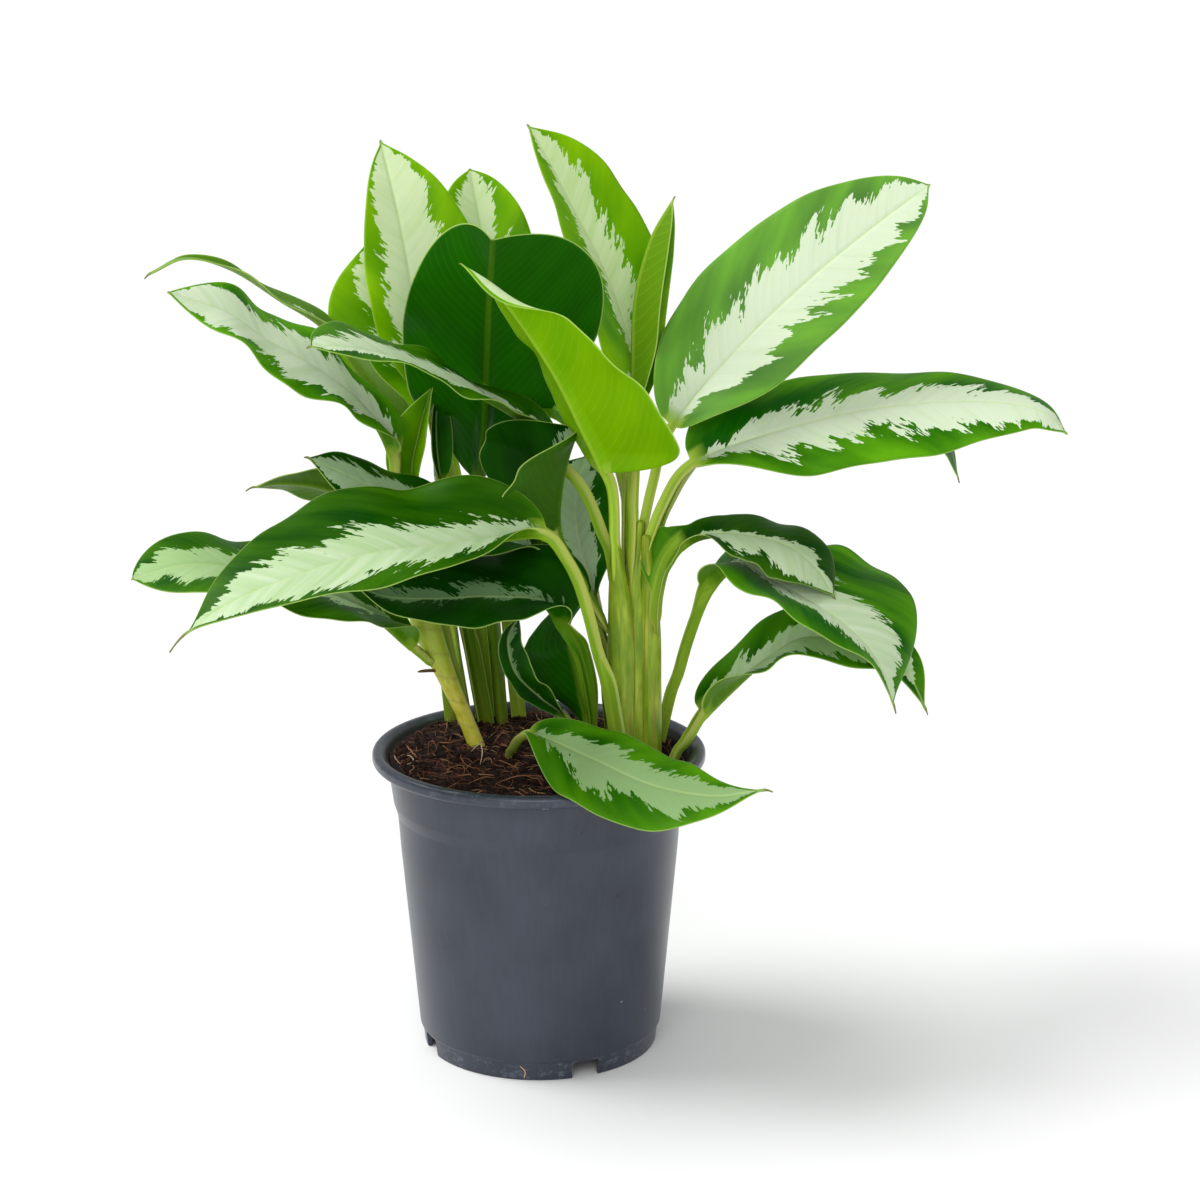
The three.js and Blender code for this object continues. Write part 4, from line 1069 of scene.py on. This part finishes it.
# Three smaller rings at the top draw the end into a low dome: their size and their lift.
DOME = ((0.86, 0.9), (0.5, 1.5), (0.12, 1.7))


def stem(rows, around, ridges, which):
    """The rows are joined by straight lines, spread evenly and smoothed. The oval's radius
    is multiplied by what ridges works out from the angle and the height."""
    rows = np.array(rows, float)
    at = np.linspace(0, len(rows) - 1, STEM_RINGS)
    line = np.stack([np.interp(at, np.arange(len(rows)), rows[:, k]) for k in range(5)], -1)
    kernel = np.hanning(2 * (STEM_RINGS // 10) + 3)
    kernel /= kernel.sum()
    pad = len(kernel) // 2
    padded = np.pad(line, ((pad, pad), (0, 0)), mode="reflect", reflect_type="odd")
    line = np.stack([np.convolve(padded[:, k], kernel, "valid") for k in range(5)], -1)
    a = np.linspace(0, 2 * np.pi, around, endpoint=False)
    height = line[:, 2:3] - line[0, 2]
    swell, dry = ridges(a[None], height)
    x = line[:, 0:1] + line[:, 3:4] * swell * np.sin(a)
    y = line[:, 1:2] - line[:, 4:5] * swell * np.cos(a)
    points = np.stack([x, y, line[:, 2:3] + 0 * x], axis=-1)
    middle = points[-1].mean(axis=0)
    dome = [middle + (points[-1] - middle) * share + np.array([0, 0, lift])
            for share, lift in DOME]
    points = np.concatenate([points, np.stack(dome)])
    shape = points.shape[:2]
    place = np.stack([np.broadcast_to(a * float(line[:, 3].mean()), shape),
                      points[..., 2] - rows[0, 2], np.full(shape, which)], axis=-1)
    dry = np.concatenate([dry + 0 * x, np.repeat((dry + 0 * x)[-1:], len(DOME), axis=0)])
    return points, tube_faces(*shape), place, dry


def sheath_ridges(lines):
    """Each lapped edge is a step: over 0.12 radians round its angle the radius rises by a
    few per cent, and beyond it falls back slowly. The angle drifts with the height, and the
    edge is dry along about 1 mm."""
    def ridges(a, z):
        swell, dry = 1 + 0 * a + 0 * z, 0 * a + 0 * z
        for angle, drift, step in lines:
            off = (a - angle - drift * z / 100 + np.pi) % (2 * np.pi) - np.pi
            swell = swell + step * smooth((off + 0.06) / 0.12) * np.exp(-np.maximum(off, 0) / 0.8)
            dry = dry + np.exp(-(off / 0.09) ** 2)
        swell = swell + 0.02 * np.sin(3 * a + z / 17) + 0.012 * np.sin(7 * a - z / 9)
        return swell, np.clip(dry, 0, 1)
    return ridges


RIBS = [
    [(47, 3, 159, 8.5, 8), (47, 2, 200, 8, 7.5), (47, 2, 240, 7.5, 7.5),
     (46, 0, 264, 6.0, 6.2), (44, -3, 286, 3.4, 3.6), (43.4, -4.4, 296, 2.6, 2.8)],
    [(55, 9, 159, 9, 10), (55, 9, 200, 8.5, 9.5), (55, 9, 245, 8.5, 9.5),
     (55, 9, 272, 6.8, 7.5), (56.5, 8.6, 293, 3.8, 4.4), (57.5, 9, 304, 2.6, 3)],
    [(63, 7, 159, 7.5, 8), (63, 7, 200, 7, 7.5), (62.5, 7, 242, 7, 7.5),
     (62, 5.5, 266, 5.6, 6.2), (61, 3.4, 286, 3.4, 3.8), (60.8, 3, 297, 2.6, 3)],
]
# For each rib its lapped edges: the angle, the drift in 100 mm of height, and the step.
LAPS = [[(0.55, 0.5, 0.07), (-1.4, -0.3, 0.06)],
        [(-0.35, -0.25, 0.08), (0.75, 0.2, 0.06)],
        [(-0.6, 0.3, 0.07), (0.5, -0.4, 0.05)]]
parts, faces, places, dries = [], [], [], []
shift = 0
for which, (rows, laps) in enumerate(zip(RIBS, LAPS)):
    p, f, place, dry = stem(rows, 64, sheath_ridges(laps), which)
    parts.append(p.reshape(-1, 3))
    faces += [[k + shift for k in face] for face in f]
    places.append(place.reshape(-1, 3))
    dries.append(dry.ravel())
    shift += len(parts[-1])
column = new_piece("stem_sheaths", np.concatenate(parts), faces, sheath_skin)
give(column, "stem_place", np.concatenate(places))
give(column, "stem_dry", np.concatenate(dries))
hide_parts("stem_column")


# %% The cane
def cane_ridges(a, z):
    """A leaf scar rings the cane every 14 mm: a narrow raised band with a dry line."""
    tilt = z + 1.5 * np.sin(a)
    scar = np.exp(-(((tilt % 14) - 7) / 0.8) ** 2)
    swell = 1 + 0.025 * scar + 0.02 * np.sin(2 * a + z / 13)
    return swell, 0.35 * scar + 0 * a


CANE = [(-33, 14, 164, 5.2, 5.2), (-42, 16, 188, 4.9, 5), (-52, 19, 210, 5.6, 5.5),
        (-62, 22, 234, 8.2, 6), (-70, 24, 262, 9, 5.2)]
p, f, place, dry = stem(CANE, 48, cane_ridges, 5)
cane = new_piece("cane_bark", p, f, cane_skin)
give(cane, "stem_place", place.reshape(-1, 3))
give(cane, "stem_dry", dry.ravel())
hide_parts("cane")
print("stems", len(column.data.polygons), "cane", len(cane.data.polygons))

# %% Two pale roots at the cane's foot, and the dry scale half way up
root_skin, tree, shader = new_material("pale_root_skin")
fit(tree, shader, {"Base Color": linear("#cbb89a"), "Roughness": 0.6})
t = np.linspace(0, 1, PATH_POINTS)[None]
foot, ends = np.array([-32.0, 9.0]), np.array([(-33.5, -15.0), (-38.0, 1.0)])
x = foot[0] + (ends[:, :1] - foot[0]) * t + 0.8 * np.sin(5 * t + ends[:, :1])
y = foot[1] + (ends[:, 1:] - foot[1]) * t
z = soil_height(x, y) + 0.7 + 2.0 * (1 - t) + 1.5 * np.sin(np.pi * t)
points, faces = strands(np.stack([x, y, z], axis=-1), [0.34, 0.28])
roots = new_piece("cane_roots", points, faces, root_skin)

dry_scale, tree, shader = new_material("dry_bud_scale")
fit(tree, shader, {"Base Color": linear("#5b4527"), "Roughness": 0.7})
path = np.stack([-57.0 - 12.0 * t[0], 17.0 - 5.0 * t[0],
                 216.0 + 3.0 * t[0] - 2.0 * t[0] ** 2], axis=-1)
points, faces = strands(path[None], [1.0], 8)
scale = new_piece("cane_bud_scale", points, faces, dry_scale)

# %% [markdown]
# ## Stage, light and camera
# The photograph is a product shot: a white floor that runs out of the picture, one big
# soft light high on the left, a weaker one in front, and a little light from everywhere.

# %% Floor
paper, tree, shader = new_material("white_paper")
fit(tree, shader, {"Base Color": linear("#f1f1f1"), "Roughness": 0.9,
                   "Specular IOR Level": 0.1})
floor_mesh = bpy.data.meshes.new("floor")
floor_mesh.from_pydata([(-40, -20, 0), (40, -20, 0), (40, 60, 0), (-40, 60, 0)], [],
                       [(0, 1, 2, 3)])
floor_mesh.materials.append(paper)
floor = bpy.data.objects.new("floor", floor_mesh)
bpy.context.scene.collection.objects.link(floor)
floor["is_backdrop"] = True

# %% Light
scene = bpy.context.scene
scene.view_settings.view_transform = "Standard"
world = bpy.data.worlds.new("studio")
scene.world = world
world.use_nodes = True
fit(world.node_tree, world.node_tree.nodes["Background"],
    {"Color": linear("#feffff"), "Strength": 0.55})


def lamp(name, kind, towards, power, **settings):
    """A lamp whose light travels along that direction, placed two metres up its beam."""
    light = bpy.data.lights.new(name, kind)
    light.energy = power
    for option, value in settings.items():
        setattr(light, option, value)
    holder = bpy.data.objects.new(name, light)
    scene.collection.objects.link(holder)
    x, y, z = np.array(towards) / np.linalg.norm(towards)
    holder.location = (-2 * x, -2 * y, 0.25 - 2 * z)
    holder.rotation_euler = (math.acos(-z), 0, math.atan2(y, x) - math.pi / 2)
    return holder


# A sun with a wide face stands for a soft box so large and far that its light is even.
key = lamp("key", "SUN", (0.62, -0.06, -0.85), 2.4, angle=math.radians(34))
fill = lamp("fill", "AREA", (0.1, 0.9, -0.45), 16.0, size=1.4)
print("lights", key.name, fill.name)

# %% Camera, at the photograph's distance and angle
lens = bpy.data.cameras.new("camera")
lens.lens = 82.38
lens.sensor_width = 36
lens.sensor_fit = "HORIZONTAL"
camera = bpy.data.objects.new("camera", lens)
bpy.context.scene.collection.objects.link(camera)
camera.location = AXIS + np.array([0.0, -1.5, 0.64])
camera.rotation_euler = (math.radians(90 - 14.15), 0, math.radians(-1.33))
bpy.context.scene.camera = camera

# %% Sizes, then the end
low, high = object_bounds()
